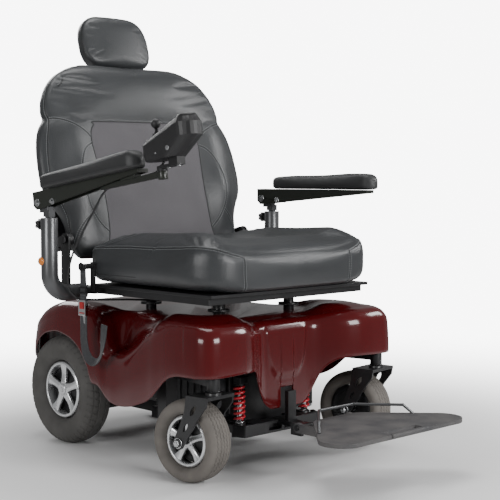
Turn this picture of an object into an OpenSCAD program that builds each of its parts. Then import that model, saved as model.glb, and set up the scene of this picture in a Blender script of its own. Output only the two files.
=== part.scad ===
// Heavy-duty rear-wheel-drive power wheelchair.
// The chair faces -Y, +Z is up, +X is the rider's left hand, and the floor is z = 0.

/* [Overall] */
// Distance from the middle to the footplate's front edge and to the rear bumper
half_length = 664; // [660:1:670]
// Distance from the middle to the outside of each arm pad
half_width = 510; // [505:1:515]

/* [Wheels] */
// Radius of the drive tyres
drive_r = 168; // [160:1:170]
// Half the width of the drive tyres
drive_half_w = 46; // [40:1:48]
// Radius of the drive rims
drive_rim_r = 88; // [80:1:95]
// Distance from the middle plane to the drive tyres' middle
drive_x = 290; // [288:1:294]
// Position of the drive axle along the chair
drive_y = 457; // [455:1:460]
// Radius of the caster tyres
caster_r = 114.5; // [110:0.5:115]
// Half the width of the caster tyres
caster_half_w = 42; // [38:1:43]
// Radius of the caster rims
caster_rim_r = 72; // [66:1:76]
// Distance from the middle plane to the caster stems
stem_x = 337; // [330:1:340]
// Position of the caster stems along the chair
stem_y = -257; // [-260:1:-255]
// Distance the caster wheels trail behind their stems
trail = 76; // [70:1:80]
// Angle both casters rest at, turned about their stems
caster_turn = 7; // [0:1:10]

/* [Footrest] */
// Height of the footplate's top
plate_z = 160; // [155:1:165]
// Thickness of the footplate
plate_t = 11; // [9:1:12]
// Position of the footplate hinge along the chair
foot_hinge_y = -352; // [-355:1:-350]
// Height of the footplate hinge
foot_hinge_z = 138; // [136:1:139]

/* [Seat] */
// Half the width of the seat cushion
seat_half_w = 345; // [340:1:350]
// Front of the seat cushion
seat_front_y = -255; // [-260:1:-250]
// Rear of the seat cushion
seat_rear_y = 296; // [290:1:300]
// Underside of the seat cushion
seat_z = 510; // [508:1:512]
// Top of the seat cushion's bolsters
seat_top_z = 672; // [660:1:675]

/* [Back] */
// Position of the recline hinge along the chair
recline_y = 365; // [363:1:368]
// Height of the recline hinge
recline_z = 640; // [638:1:645]
// Angle the back leans from upright
back_lean = 16; // [14:1:18]
// Half the width of the back at its widest
back_half_w = 400; // [390:1:402]
// Height of the headrest's middle above the recline hinge, along the back
headrest_up = 667; // [664:1:670]

/* [Arms] */
// Distance from the middle plane to the armrest tubes
arm_x = 461; // [460:1:463]
// Position of the armrest tubes along the chair
arm_y = 317; // [315:1:320]
// Top of the armrest tubes
arm_tube_top = 709; // [705:1:712]
// Position of the flip-up hinge along the chair
flip_y = 349; // [348:1:351]
// Height of the flip-up hinge
flip_z = 753; // [752:1:755]
// Angle the right armrest is set up at, from level
right_tilt = 8; // [6:1:9]

/* [Joystick] */
// Position of the joystick's swing pivot, in the armrest's own frame
swing_y = -205; // [-208:1:-204]
// Height of the stick's gimbal
gimbal_z = 838; // [837:1:839]
// Position of the stick
stick_y = -196; // [-198:1:-194]

/* [Hidden] */

black = [0.09, 0.09, 0.10];
steel = [0.72, 0.73, 0.75];
gunmetal = [0.36, 0.37, 0.38];
maroon = [0.34, 0.05, 0.06];
leather = [0.28, 0.29, 0.30];
tyre_grey = [0.33, 0.31, 0.29];
spring_red = [0.75, 0.12, 0.14];

// Running clearance on a radius
run = 0.05;
// Smooth curves and the coarser ones inside hulls
$fn = 64;
hull_fn = 24;

// Chassis
rail_x = 75;
rail_w = 30;
rail_z = 90;
rail_h = 35;
frame_front_y = -190;
frame_rear_y = 600;
arm_pin_r = 10;
arm_pivot_z = 108;
lever_x = 134;
spring_y = -145;
spring_low_z = 126;
spring_high_z = 240;
deck_z = 395;
socket_z = 107.5;
socket_r = 10;
socket_bolt_x = 40;
socket_bolt_r = 4.25;
post_x = 145;
post_front_y = -70;
post_rear_y = 235;
post_r = 16;
axle_r = 12;
stem_r = 12;
caster_axle_r = 8;
// Radius the caster tyre sweeps about its stem
caster_sweep = 196;

// Seat and arms
post_top_z = 478;
seat_frame_z = 480;
arm_tube_r = 25;
arm_post_r = 12;
arm_bend_r = 60;
arm_low_z = 486;
pad_x = half_width - 36;
pad_r = 36;
flip_pin_r = 6;
headrest_post_r = 6;
headrest_post_x = 55;
headrest_post_y = 80;
recline_pin_r = 8;

// Joystick lead, from under the case to the tube clip and on to the controller
lead_r = 3;
lead_points = [
  [-447, -187, 868.5], [-445, -171, 854], [-441, -143, 841], [-438.5, -83, 830], [-438.5, -14, 818],
  [-438.5, 54, 802], [-440, 88, 780], [-438, 115, 752], [-435, 145, 722], [-431, 180, 688],
  [-428, 215, 650], [-427, 245, 612], [-427, 265, 572], [-426, 275, 540]
];
seat_lead_points = [
  [-426, 275, 539.5], [-424, 278, 515], [-415, 278, 490], [-395, 274, 472], [-360, 262, 466],
  [-310, 240, 464], [-250, 215, 462], [-190, 195, 458], [-120, 185, 452], [-60, 183, 446], [-20, 183, 438]
];

function wave(s, p) = sign(s) * pow(abs(s), p);

// Rounded-square tyre section on the right of the axis, cut flat at the rim
module tyre_section(r, rim_r, half_w) {
  mid = (r + rim_r) / 2;
  half_h = (r - rim_r) / 2;
  difference() {
    polygon([for (a = [6:12:354]) [mid + half_h * wave(sin(a), 0.72), half_w * wave(cos(a), 0.62)]]);
    translate([0, -half_w - 1]) square([rim_r + 3, 2 * half_w + 2]);
  }
}

module along_x() { rotate([0, 90, 0]) children(); }

// Tyre centred on the origin with its axle along X
module tyre(r, rim_r, half_w) {
  color(tyre_grey) along_x() rotate_extrude($fn = 96) tyre_section(r, rim_r, half_w);
}

// Five-spoke rim with its axle along X, the open face towards +X
module rim(r, half_w, hub_r, bore_r, spoke_w) {
  wall = 6;
  color(steel) along_x() difference() {
    union() {
      difference() {
        cylinder(h = 2 * half_w, r = r + 2.9, center = true, $fn = 96);
        cylinder(h = 2 * half_w + 2, r = r - wall, center = true, $fn = 96);
      }
      translate([0, 0, half_w * 0.05]) for (i = [0:4]) {
        rotate([0, 0, 72 * i]) translate([0, -spoke_w / 2, 0]) cube([r - wall + 2, spoke_w, half_w * 0.5]);
      }
      cylinder(h = 5, r = r - wall + 1, center = true);
      cylinder(h = 1.6 * half_w, r = hub_r, center = true);
    }
    cylinder(h = 3 * half_w, r = bore_r, center = true);
  }
}

module drive_place(side) { translate([side * drive_x, drive_y, drive_r]) children(); }

module facing(side) {
  if (side < 0) {
    mirror([1, 0, 0]) children();
  } else {
    children();
  }
}

// Places a child drawn about the stem, with the chair's floor at its own floor
module stem_place(side) { translate([side * stem_x, stem_y, 0]) rotate([0, 0, caster_turn]) children(); }

module caster_place(side) { stem_place(side) translate([0, trail, caster_r]) facing(side) children(); }

// ---- chassis ----
module chassis_frame() {
  front_wall_y = -125;
  color(black) difference() {
    union() {
      for (s = [-1, 1]) {
        translate([s * rail_x - rail_w / 2, frame_front_y, rail_z])
          cube([rail_w, frame_rear_y - frame_front_y, rail_h]);
        translate([s * rail_x - rail_w / 2, front_wall_y, deck_z])
          cube([rail_w, 385, 22]);
        translate([s * rail_x - rail_w / 2, 190, rail_z + 10])
          cube([rail_w, 30, deck_z - rail_z]);
        translate([s * lever_x - 16, spring_y - 20, spring_high_z]) cube([32, 30, 20]);
      }
      translate([-170, frame_front_y, rail_z]) cube([340, 40, rail_h]);
      translate([-150, 200, rail_z]) cube([300, 30, rail_h]);
      translate([-165, 560, rail_z]) cube([330, 40, rail_h]);
      translate([-155, front_wall_y, rail_z]) cube([310, 8, deck_z + 22 - rail_z]);
      for (y = [post_front_y, post_rear_y]) {
        translate([-post_x - 20, y - 20, deck_z]) cube([2 * post_x + 40, 40, 22]);
      }
    }
    for (s = [-1, 1]) {
      translate([s * lever_x - 22, front_wall_y - 1, rail_z - 1]) cube([44, 10, 62]);
      translate([s * lever_x - 22, frame_front_y + 14, rail_z - 1]) cube([44, 40, rail_h + 2]);
      translate([s * 32 - 26, frame_front_y - 1, rail_z + 8]) cube([52, 20, rail_h - 16]);
      translate([s * socket_bolt_x, 550, socket_z]) rotate([-90, 0, 0]) cylinder(h = 60, r = socket_bolt_r);
      translate([s * rail_x, 0, arm_pivot_z]) along_x() cylinder(h = rail_w + 2, r = arm_pin_r, center = true);
    }
    for (s = [-1, 1]) {
      translate([s * stem_x, stem_y, rail_z - 1]) cylinder(h = rail_h + 2, r = caster_sweep);
    }
    translate([0, 550, socket_z]) rotate([-90, 0, 0]) cylinder(h = 60, r = socket_r);
  }
}

module battery_box() {
  color(black) difference() {
    union() {
      translate([-183, -110, 141]) cube([366, 278, 240]);
      for (s = [-1, 1], i = [0:8]) {
        translate([s * 184 - 3, -98 + 30 * i, 150]) cube([6, 14, 215]);
      }
    }
    translate([-177, -104, 146]) cube([354, 266, 236]);
  }
}

module batteries() {
  color([0.2, 0.2, 0.22]) for (s = [-1, 1]) {
    translate([s * 87 - 84, -101, 147]) cube([168, 260, 208]);
    for (t = [-50, 50]) {
      translate([s * 87 + t, -70, 355]) cylinder(h = 14, r = 8);
    }
  }
}

module motor_controller() {
  color([0.25, 0.26, 0.28]) {
    translate([-100, 280, 340]) cube([200, 150, 45]);
    for (i = [0:9]) {
      translate([-95 + 20 * i, 285, 385]) cube([5, 140, 14]);
    }
  }
}

// Right-angle gearbox, forward-lying motor and output shaft on each side
module gear_motors() {
  color([0.16, 0.16, 0.17]) for (s = [-1, 1]) {
    translate([s * 198 - 34, 405, 112]) cube([68, 105, 112]);
    translate([s * 192, 405, drive_r]) rotate([90, 0, 0]) cylinder(h = 150, r = 44);
    translate([s * 192, 255, drive_r]) rotate([90, 0, 0]) cylinder(h = 16, r = 36);
    facing(s) translate([rail_x + rail_w / 2, 430, 92]) cube([126, 50, 24]);
    facing(s) translate([230, drive_y, drive_r]) along_x() cylinder(h = 92, r = axle_r);
    translate([s * 198, 440, 222]) cylinder(h = 12, r = 12);
  }
}

module freewheel_lever(side) {
  color([0.75, 0.1, 0.1]) facing(side) translate([198, 440, 234.4]) {
    cylinder(h = 8, r = 14);
    translate([-5, -80, 0]) cube([10, 80, 8]);
    translate([0, -80, 0]) cylinder(h = 8, r = 9);
  }
}

module suspension_pins() {
  color(steel) for (s = [-1, 1]) facing(s) {
    translate([rail_x - rail_w / 2, 0, arm_pivot_z]) along_x() cylinder(h = 247, r = arm_pin_r);
    translate([306, 0, arm_pivot_z]) along_x() cylinder(h = 7, r = 15);
  }
}

// ---- shroud ----
fender_wall = 6;
fender_low_z = 294;

module ball(p, r) { translate(p) sphere(r, $fn = hull_fn); }

module drum(p, r, h) { translate(p) cylinder(h = h, r = r, $fn = hull_fn); }

module front_fender_form(g) {
  rim_z = fender_low_z;
  hull() {
    ball([322, -212, 372], 66 - g);
    ball([250, -205, 380], 60 - g);
    ball([300, -130, 390], 55 - g);
    ball([162, -110, 385], 45 - g);
    ball([328, -20, 340], 55 - g);
    drum([324, -222, rim_z - g], 68 - g, 30);
    drum([245, -240, rim_z - g], 50 - g, 30);
    drum([156, -170, rim_z - g], 40 - g, 30);
    drum([345, -12, 250 - g], 46 - g, 20);
  }
}

module front_fender(side) {
  color(maroon) facing(side) difference() {
    front_fender_form(0);
    front_fender_form(fender_wall);
    translate([60, -310, 200]) cube([360, 250, fender_low_z - 200]);
    translate([80, -128, 180]) cube([114, 200, 250]);
    translate([80, -62, 180]) cube([234, 120, 224]);
    translate([post_x, post_front_y, 380]) cylinder(h = 90, r = post_r + 6);
    translate([100, 36, 180]) cube([320, 60, 280]);
  }
}

module rear_fender_form(g) {
  hull() {
    ball([284, 452, 372], 67 - g);
    ball([284, 585, 335], 62 - g);
    ball([292, 250, 300], 46 - g);
    ball([200, 440, 378], 48 - g);
    drum([276, 590, 235], 60 - g, 40);
    drum([298, 236, 200], 38 - g, 30);
  }
}

module skirt_form(g) {
  hull() {
    ball([316, 80, 290], 40 - g);
    ball([304, 232, 280], 42 - g);
    drum([328, 74, 164], 34 - g, 40);
    drum([314, 236, 170], 34 - g, 40);
  }
}

module rear_side(s) {
  facing(s) difference() {
    union() {
      rear_fender_form(0);
      skirt_form(0);
    }
    rear_fender_form(fender_wall);
    skirt_form(fender_wall);
    translate([180, drive_y, drive_r]) along_x() cylinder(h = 240, r = drive_r + 16, $fn = 96);
    translate([180, 20, 100]) cube([240, 330, 62]);
    translate([100, 0, 100]) cube([165, 700, 250]);
    translate([180, 470, 100]) cube([220, 240, 136]);
    translate([100, 20, 400]) cube([90, 600, 60]);
  }
}

// Deck over the batteries, two rear fenders with side skirts, and the rear panel
module rear_cover() {
  color(maroon) {
    for (s = [-1, 1]) rear_side(s);
    difference() {
      translate([-232, -112, 419]) cube([464, 760, 7]);
      for (s = [-1, 1]) {
        translate([s * post_x, post_front_y, 400]) cylinder(h = 40, r = post_r + 4);
        translate([s * post_x, post_rear_y, 400]) cylinder(h = 40, r = post_r + 4);
        facing(s) translate([90, -114, 400]) cube([160, 180, 40]);
      }
    }
    translate([-240, half_length - 14, 200]) cube([480, 8, 226]);
    translate([-240, 640, 400]) cube([480, 12, 26]);
    translate([-200, half_length - 8, 210]) cube([400, 8, 36]);
  }
}

// Centre panel between the fenders with the hanger slot, and a raised shield on it
module front_cover() {
  face_y = -204;
  half_w = 85;
  color(maroon) difference() {
    union() {
      translate([-half_w, 0, 0]) rotate([90, 0, 90]) linear_extrude(2 * half_w)
        polygon([
          [face_y + 12, 163], [face_y, 200], [face_y, 372], [face_y + 14, 404], [face_y + 40, 421],
          [-128, 426], [-128, 420], [face_y + 44, 414], [face_y + 20, 399], [face_y + 7, 370],
          [face_y + 7, 200], [face_y + 19, 163]
        ]);
      for (s = [-1, 1]) facing(s) translate([0, face_y + 7, 0]) rotate([90, 0, 0]) linear_extrude(7)
        polygon([
          [half_w - 1, 190], [98, 200], [112, 218], [128, 250], [160, 290], [114, 290], [114, 380],
          [half_w - 1, 384]
        ]);
      translate([0, face_y + 2, 0]) rotate([90, 0, 0]) linear_extrude(5)
        polygon([[-80, 380], [80, 380], [72, 300], [44, 262], [0, 250], [-44, 262], [-72, 300]]);
    }
    translate([-26, face_y - 10, 150]) cube([52, 40, 72]);
  }
}

// ---- caster suspension ----
module caster_arm(side) {
  color(black) facing(side) difference() {
    union() {
      translate([lever_x - 18, 0, arm_pivot_z]) along_x() cylinder(h = 170, r = 19);
      translate([lever_x - 16, spring_y - 20, 96]) cube([32, -spring_y + 20, 24]);
      translate([lever_x, spring_y, 118]) cylinder(h = spring_low_z - 118, r = 18);
      translate([262, -22, arm_pivot_z]) cube([42, 36, 192]);
      translate([0, 0, 270]) linear_extrude(30) polygon([
        [262, 14], [304, 14], [stem_x + 17, stem_y], [stem_x - 17, stem_y]
      ]);
      translate([stem_x, stem_y, 258]) cylinder(h = 44, r = 18);
    }
    translate([stem_x, stem_y, 240]) cylinder(h = 90, r = stem_r + run);
    translate([90, 0, arm_pivot_z]) along_x() cylinder(h = 240, r = arm_pin_r + run);
  }
}

// Coil spring drawn as a swept wire of its own turns
module spring(side) {
  turns = 7;
  steps = 14;
  coil_r = 14;
  wire_r = 3.6;
  sides = 6;
  rise = spring_high_z - spring_low_z - 2 * wire_r - 0.6;
  rings = turns * steps;
  base = spring_low_z + wire_r + 0.3;
  pts = [for (i = [0:rings], j = [0:sides - 1])
    let (a = 360 * i / steps, b = 360 * j / sides, r = coil_r + wire_r * cos(b))
    [lever_x * side + r * cos(a), spring_y + r * sin(a), base + rise * i / rings + wire_r * sin(b)]];
  walls = [for (i = [0:rings - 1], j = [0:sides - 1])
    [i * sides + j, i * sides + (j + 1) % sides, (i + 1) * sides + (j + 1) % sides, (i + 1) * sides + j]];
  first = [for (j = [sides - 1:-1:0]) j];
  last = [for (j = [0:sides - 1]) rings * sides + j];
  color(spring_red) polyhedron(points = pts, faces = concat(walls, [first, last]));
}

// Fork with its stem and wheel axle, drawn about the stem
module caster_fork(side) {
  leg_t = 6;
  leg_x = caster_half_w + 9;
  color(black) stem_place(side) {
    translate([0, 0, 244]) cylinder(h = 66, r = stem_r);
    translate([0, 0, 303]) cylinder(h = 3, r = 16);
    translate([0, 0, 306]) cylinder(h = 9, r = 15, $fn = 6);
    translate([-leg_x - leg_t, -26, 238]) cube([2 * (leg_x + leg_t), 74, 9]);
    translate([0, 0, 247]) cylinder(h = 6, r = 22);
    for (s = [-1, 1]) {
      translate([s * (leg_x + leg_t / 2) - leg_t / 2, 0, 0]) rotate([90, 0, 90]) linear_extrude(leg_t)
        difference() {
          union() {
            polygon([
              [-26, 247], [48, 247], [54, 205], [72, 160], [trail + 17, caster_r + 6],
              [trail + 12, caster_r - 12], [trail - 12, caster_r - 13], [36, 140], [4, 190], [-22, 222]
            ]);
            translate([trail, caster_r]) circle(18);
          }
          lens([24, 208], 34, 14);
          lens([50, 160], 30, 11);
        }
    }
    translate([-leg_x - leg_t - 8, trail, caster_r]) along_x() cylinder(h = 2 * (leg_x + leg_t + 8), r = caster_axle_r);
    for (s = [-1, 1]) {
      translate([s * (leg_x + leg_t + 4), trail, caster_r]) along_x() cylinder(h = 8, r = 13, center = true, $fn = 6);
    }
  }
}

// Lens-shaped hole of length l and width w that leans with the leg
module lens(p, l, w) {
  r = (l * l + w * w) / (4 * w);
  translate(p) rotate(33) intersection() {
    translate([r - w / 2, 0]) circle(r);
    translate([w / 2 - r, 0]) circle(r);
  }
}

// ---- anti-tip wheels ----
anti_tip_x = 152;
anti_tip_y = 618;
anti_tip_z = 52;
anti_tip_r = 34;

module anti_tip_arms() {
  color(black) for (s = [-1, 1]) facing(s) {
    translate([anti_tip_x - 12, frame_rear_y, 92]) cube([24, 20, 30]);
    translate([anti_tip_x - 24, 601, 40]) cube([6, 34, 64]);
    translate([anti_tip_x + 18, 601, 40]) cube([6, 34, 64]);
    translate([anti_tip_x - 24, 601, 92]) cube([48, 34, 12]);
    translate([anti_tip_x - 26, anti_tip_y, anti_tip_z]) along_x() cylinder(h = 52, r = 6);
  }
}

module anti_tip_wheel(side) {
  color(tyre_grey) translate([side * anti_tip_x, anti_tip_y, anti_tip_z]) along_x() rotate_extrude($fn = 48)
    polygon([[6 + run, -14], [28, -14], [anti_tip_r, -8], [anti_tip_r, 8], [28, 14], [6 + run, 14]]);
}

// ---- footrest ----
rod_half = 116;
hinge_rod_r = 8;

module foot_hanger() {
  color(black) {
    translate([-20, foot_hinge_y + 4, 112]) cube([40, -foot_hinge_y + frame_front_y - 4, 13]);
    translate([-16, -226, 112]) cube([32, 14, 100]);
    for (s = [-1, 1]) {
      translate([s * 90 - 5, foot_hinge_y, 112]) cube([10, 40, 34]);
    }
    translate([-95, foot_hinge_y + 22, 112]) cube([190, 18, 13]);
    translate([-rod_half, foot_hinge_y, foot_hinge_z]) along_x() cylinder(h = 2 * rod_half, r = hinge_rod_r);
  }
}

module footplate() {
  corner = 60;
  corner_x = 208;
  color([0.38, 0.38, 0.40]) {
    difference() {
      translate([0, 0, plate_z - plate_t]) linear_extrude(plate_t) hull() for (s = [-1, 1]) {
        translate([s * corner_x, corner - half_length + 4]) circle(corner);
        translate([s * corner, -447]) circle(corner);
      }
      translate([-72, 8 - half_length + 12, plate_z - 20]) cube([144, 26, 40]);
    }
    for (s = [-1, 1]) {
      difference() {
        union() {
          translate([s * 106 - 6, foot_hinge_y - 74, 124]) cube([12, 74, plate_z - plate_t - 124]);
          translate([s * 106 - 6, foot_hinge_y, foot_hinge_z]) along_x() cylinder(h = 12, r = 14);
        }
        translate([s * 106 - 8, foot_hinge_y, foot_hinge_z]) along_x() cylinder(h = 16, r = hinge_rod_r + run);
      }
    }
    translate([-76, 6 - half_length, plate_z - 4]) along_x() cylinder(h = 152, r = 6);
  }
}

// Round bar between two points
module bar(p, q, r) {
  d = q - p;
  len = norm(d);
  translate(p) rotate([0, acos(d[2] / len), atan2(d[1], d[0])]) cylinder(h = len, r = r, $fn = 32);
}

module bent_rod(points, r) {
  for (i = [0:len(points) - 2]) bar(points[i], points[i + 1], r);
  for (i = [1:len(points) - 2]) translate(points[i]) sphere(r + 0.4, $fn = 32);
}

module heel_loop() {
  color(gunmetal) bent_rod([
    [-196, -512, plate_z], [-176, -492, 184], [-70, -396, 187], [70, -396, 187], [176, -492, 184],
    [196, -512, plate_z]
  ], 4);
}

// ---- seat ----
module seat_posts() {
  color(gunmetal) for (s = [-1, 1], y = [post_front_y, post_rear_y]) {
    translate([s * post_x, y, deck_z + 22]) cylinder(h = post_top_z - deck_z - 22, r = post_r);
    translate([s * post_x, y, 441]) cylinder(h = 6, r = 32);
    translate([s * post_x, y, post_top_z - 5]) cylinder(h = 5, r = 30);
  }
}

module seat_frame() {
  color(black) {
    for (s = [-1, 1]) {
      translate([s * 300 - 14, -215, seat_frame_z]) cube([28, 550, 20]);
      translate([s * post_x - 14, -215, seat_frame_z]) cube([28, 500, 20]);
      translate([s * 330 - 35.8, recline_y - 22, seat_frame_z]) cube([71.6, 40, 20]);
    }
    for (y = [-215, post_front_y - 14, post_rear_y - 14, 307]) {
      translate([-314, y, seat_frame_z]) cube([628, 28, 20]);
    }
    translate([-314, 300, seat_frame_z]) cube([628, 60, 8]);
    translate([-322, -235, seat_frame_z + 20]) cube([644, 530, 9]);
    translate([290, 40, 468]) cube([60, 16, 10]);
  }
}

module seat_cushion() {
  front_r = 105;
  rear_r = 45;
  side_r = 46;
  side_z = seat_top_z - side_r;
  color(leather) hull() {
    for (s = [-1, 1]) {
      drum([s * (seat_half_w - front_r), seat_front_y + front_r, seat_z + 18], front_r, 60);
      drum([s * (seat_half_w - front_r - 14), seat_front_y + front_r + 14, seat_z], front_r, 10);
      drum([s * (seat_half_w - rear_r), seat_rear_y - rear_r, seat_z], rear_r, 90);
      ball([s * (seat_half_w - side_r - 14), seat_front_y + 120, side_z], side_r);
      ball([s * (seat_half_w - side_r - 4), seat_rear_y - side_r, side_z - 14], side_r);
    }
  }
}

// ---- back, drawn upright about the recline hinge and leant back by back_lean ----
module back_place() { translate([0, recline_y, recline_z]) rotate([-back_lean, 0, 0]) children(); }

module back_hinges() {
  color(black) for (s = [-1, 1]) facing(s) {
    translate([366, recline_y - 20, seat_frame_z]) cube([7, 38, recline_z - seat_frame_z]);
    translate([366, recline_y, recline_z]) along_x() cylinder(h = 7, r = 20);
    translate([350, recline_y, recline_z]) along_x() cylinder(h = 30, r = recline_pin_r);
    translate([377, recline_y, recline_z]) along_x() cylinder(h = 6, r = 13, $fn = 6);
  }
}

// Moulded back shell with hinge ears and headrest sockets
module back_frame() {
  shell_y = 64;
  color(black) back_place() {
    for (s = [-1, 1]) facing(s) {
      difference() {
        union() {
          translate([352, 0, 0]) along_x() cylinder(h = 12, r = 18);
          translate([352, 0, -12]) cube([12, shell_y + 12, 30]);
        }
        translate([345, 0, 0]) along_x() cylinder(h = 30, r = recline_pin_r + run);
      }
    }
    difference() {
      union() {
        translate([0, shell_y + 12, 0]) rotate([90, 0, 0]) linear_extrude(12) polygon([
          [-364, -20], [364, -20], [364, 40], [352, 130], [352, 240], [330, 330], [300, 440], [260, 520],
          [-260, 520], [-300, 440], [-330, 330], [-352, 240], [-352, 130], [-364, 40]
        ]);
        translate([-headrest_post_x - 16, shell_y, 440]) cube([2 * headrest_post_x + 32, 30, 84]);
      }
      for (s = [-1, 1]) {
        translate([s * headrest_post_x, headrest_post_y, 430]) cylinder(h = 110, r = headrest_post_r + run);
      }
    }
  }
}

module back_cushion() {
  low_half = 318;
  face = -22;
  rear = 62;
  edge = 34;
  round_r = 40;
  color(leather) back_place() hull() for (s = [-1, 1]) {
    drum([s * (low_half - edge), face + edge + 4, -56], edge - 4, 50);
    drum([s * (low_half - edge), rear - edge, -56], edge - 4, 50);
    for (p = [[back_half_w, 142], [back_half_w, 236], [386, 304], [360, 386], [338, 462], [300, 536]]) {
      ball([s * (p[0] - round_r), (face + rear) / 2 + 2, p[1]], round_r);
    }
    for (z = [90, 240]) ball([s * 292, -12, z], 34);
  }
}

module headrest_posts() {
  color(steel) back_place() for (s = [-1, 1]) {
    translate([s * headrest_post_x, headrest_post_y, 450]) cylinder(h = 180, r = headrest_post_r);
  }
}

module headrest() {
  half_w = 146;
  color(leather) back_place() difference() {
    translate([0, 54, headrest_up]) hull() for (s = [-1, 1]) {
      ball([s * (half_w - 40), 0, -20], 40);
      ball([s * (half_w - 44), 0, -53], 38);
      ball([s * (half_w - 46), 0, 24], 36);
      ball([s * (half_w - 66), -2, 62], 31);
    }
    for (s = [-1, 1]) {
      translate([s * headrest_post_x, headrest_post_y, 560]) cylinder(h = 71, r = headrest_post_r + run);
    }
  }
}

// ---- armrests ----
module arm_tube(side) {
  bend_z = arm_low_z + arm_bend_r;
  color(gunmetal) facing(side) difference() {
    union() {
      translate([arm_x, arm_y, bend_z]) cylinder(h = arm_tube_top - bend_z, r = arm_tube_r);
      translate([arm_x - arm_bend_r, arm_y, bend_z]) rotate([90, 0, 0]) mirror([0, 1, 0])
        rotate_extrude(angle = 90) translate([arm_bend_r, 0]) circle(arm_tube_r, $fn = 48);
      translate([315, arm_y, arm_low_z]) along_x() cylinder(h = arm_x - arm_bend_r - 315, r = arm_tube_r);
      translate([arm_x, arm_y + 18, 689]) rotate([-90, 0, 0]) cylinder(h = 14, r = 10);
    }
    translate([arm_x, arm_y, 580]) cylinder(h = 140, r = arm_post_r + run);
    translate([arm_x, arm_y, 689]) rotate([-90, 0, 0]) cylinder(h = 60, r = 4 + run);
    translate([300, arm_y - 30, arm_low_z - 40]) cube([40, 60, 34]);
    translate([300, arm_y - 30, arm_low_z + 13]) cube([40, 60, 34]);
  }
}

module arm_knob(side) {
  color(black) facing(side) translate([arm_x, arm_y, 689]) rotate([-90, 0, 0]) {
    translate([0, 0, 13]) cylinder(h = 20, r = 4);
    difference() {
      translate([0, 0, 33]) cylinder(h = 18, r = 16);
      for (i = [0:5]) rotate([0, 0, 60 * i]) translate([19, 0, 32]) cylinder(h = 20, r = 6);
    }
  }
}

// Sliding post with its hinge head and flip-up pin
module arm_post(side) {
  color(steel) facing(side) {
    translate([arm_x, arm_y, 590]) cylinder(h = 135, r = arm_post_r);
    translate([arm_x - 11, arm_y - 14, 712]) cube([22, 28, 20]);
    translate([arm_x - 11, arm_y - 6, 724]) cube([22, flip_y - arm_y + 6, 18]);
    translate([arm_x - 11, flip_y, flip_z]) along_x() cylinder(h = 22, r = 15);
    translate([arm_x - 19, flip_y, flip_z]) along_x() cylinder(h = 38, r = flip_pin_r);
  }
}

// Turns a level armrest up about its hinge to the angle it is set at
module arm_set(side) {
  translate([0, flip_y, flip_z]) rotate([side < 0 ? -right_tilt : 0, 0, 0]) translate([0, -flip_y, -flip_z])
    facing(side) children();
}

// Two tapered side plates under a top plate, pivoted on the post's pin
module arm_channel() {
  side_profile = [
    [flip_y + 22, 745], [flip_y + 22, 786], [-125, 786], [-125, 776], [255, 742], [flip_y - 10, 733], [flip_y + 8, 733]
  ];
  difference() {
    union() {
      for (x = [arm_x - 18, arm_x + 12]) {
        translate([x, 0, 0]) rotate([90, 0, 90]) linear_extrude(6) polygon(side_profile);
      }
      translate([arm_x - 18, -125, 781]) cube([36, flip_y + 147, 5]);
      translate([arm_x - 18, -125, 776]) cube([36, 60, 8]);
    }
    translate([arm_x - 20, flip_y, flip_z]) along_x() cylinder(h = 40, r = flip_pin_r + run);
  }
}

module arm_bracket(side) {
  color(black) arm_set(side) {
    arm_channel();
    if (side < 0) joystick_rail();
  }
}

// Square bar under the right bracket that carries the joystick's swing pin
module joystick_rail() {
  translate([arm_x - 8, swing_y, 752]) cube([16, 175 - swing_y - 120, 14]);
  translate([arm_x - 12, -100, 764]) cube([24, 60, 14]);
  translate([arm_x, swing_y, 746]) cylinder(h = 20, r = 13);
  translate([arm_x, swing_y, 746]) cylinder(h = 38, r = 5);
}

module arm_pad(side) {
  pad_front = -138;
  pad_rear = 312;
  color(leather * 0.6) arm_set(side) hull() {
    for (y = [pad_front + pad_r, pad_rear - pad_r]) {
      drum([pad_x, y, 786.4], pad_r - 4, 10);
      drum([pad_x, y, 796], pad_r, 18);
      drum([pad_x, y, 812], pad_r - 12, 24);
    }
  }
}

// ---- joystick, carried on the right armrest ----
case_half_w = 38;
case_z = 796;

module joystick_bracket() {
  color(black) arm_set(-1) difference() {
    union() {
      translate([arm_x, swing_y, 766.5]) cylinder(h = 14, r = 14);
      translate([arm_x - 14, swing_y - 78, 774]) cube([28, 78, 7]);
      translate([arm_x - 14, swing_y - 78, 774]) cube([28, 34, case_z - 774.3]);
    }
    translate([arm_x, swing_y, 740]) cylinder(h = 60, r = 5 + run);
  }
}

module joystick_case() {
  rear_y = swing_y + 12;
  low_front_y = -250;
  head_y = -318;
  color(black) arm_set(-1) difference() {
    hull() {
      drum([arm_x, rear_y, case_z], case_half_w - 4, 8);
      drum([arm_x, rear_y, case_z + 16], case_half_w, 26);
      drum([arm_x, rear_y, case_z + 44], case_half_w - 8, 6);
      drum([arm_x, low_front_y, case_z], case_half_w - 4, 8);
      drum([arm_x, head_y, case_z + 46], case_half_w, 34);
      drum([arm_x, head_y, case_z + 80], case_half_w - 8, 14);
    }
    translate([arm_x, stick_y, 818]) cylinder(h = 60, r = 24);
    translate([arm_x, stick_y, gimbal_z]) along_x() cylinder(h = 57, r = 3 + run, center = true);
    key_place(-1) cylinder(h = 12, r = 7, center = true);
    key_place(1) cylinder(h = 12, r = 7, center = true);
  }
}

// Keys sit on the sloping top between the stick and the head
module key_place(k) { translate([arm_x + 12 * k, -255, 870]) rotate([-34, 0, 0]) children(); }

module joystick_gimbal() {
  color(steel) arm_set(-1) translate([arm_x, stick_y, gimbal_z]) difference() {
    union() {
      cylinder(h = 8, r = 17, center = true);
      along_x() cylinder(h = 56, r = 3, center = true);
    }
    cylinder(h = 10, r = 12, center = true);
  }
}

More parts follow.
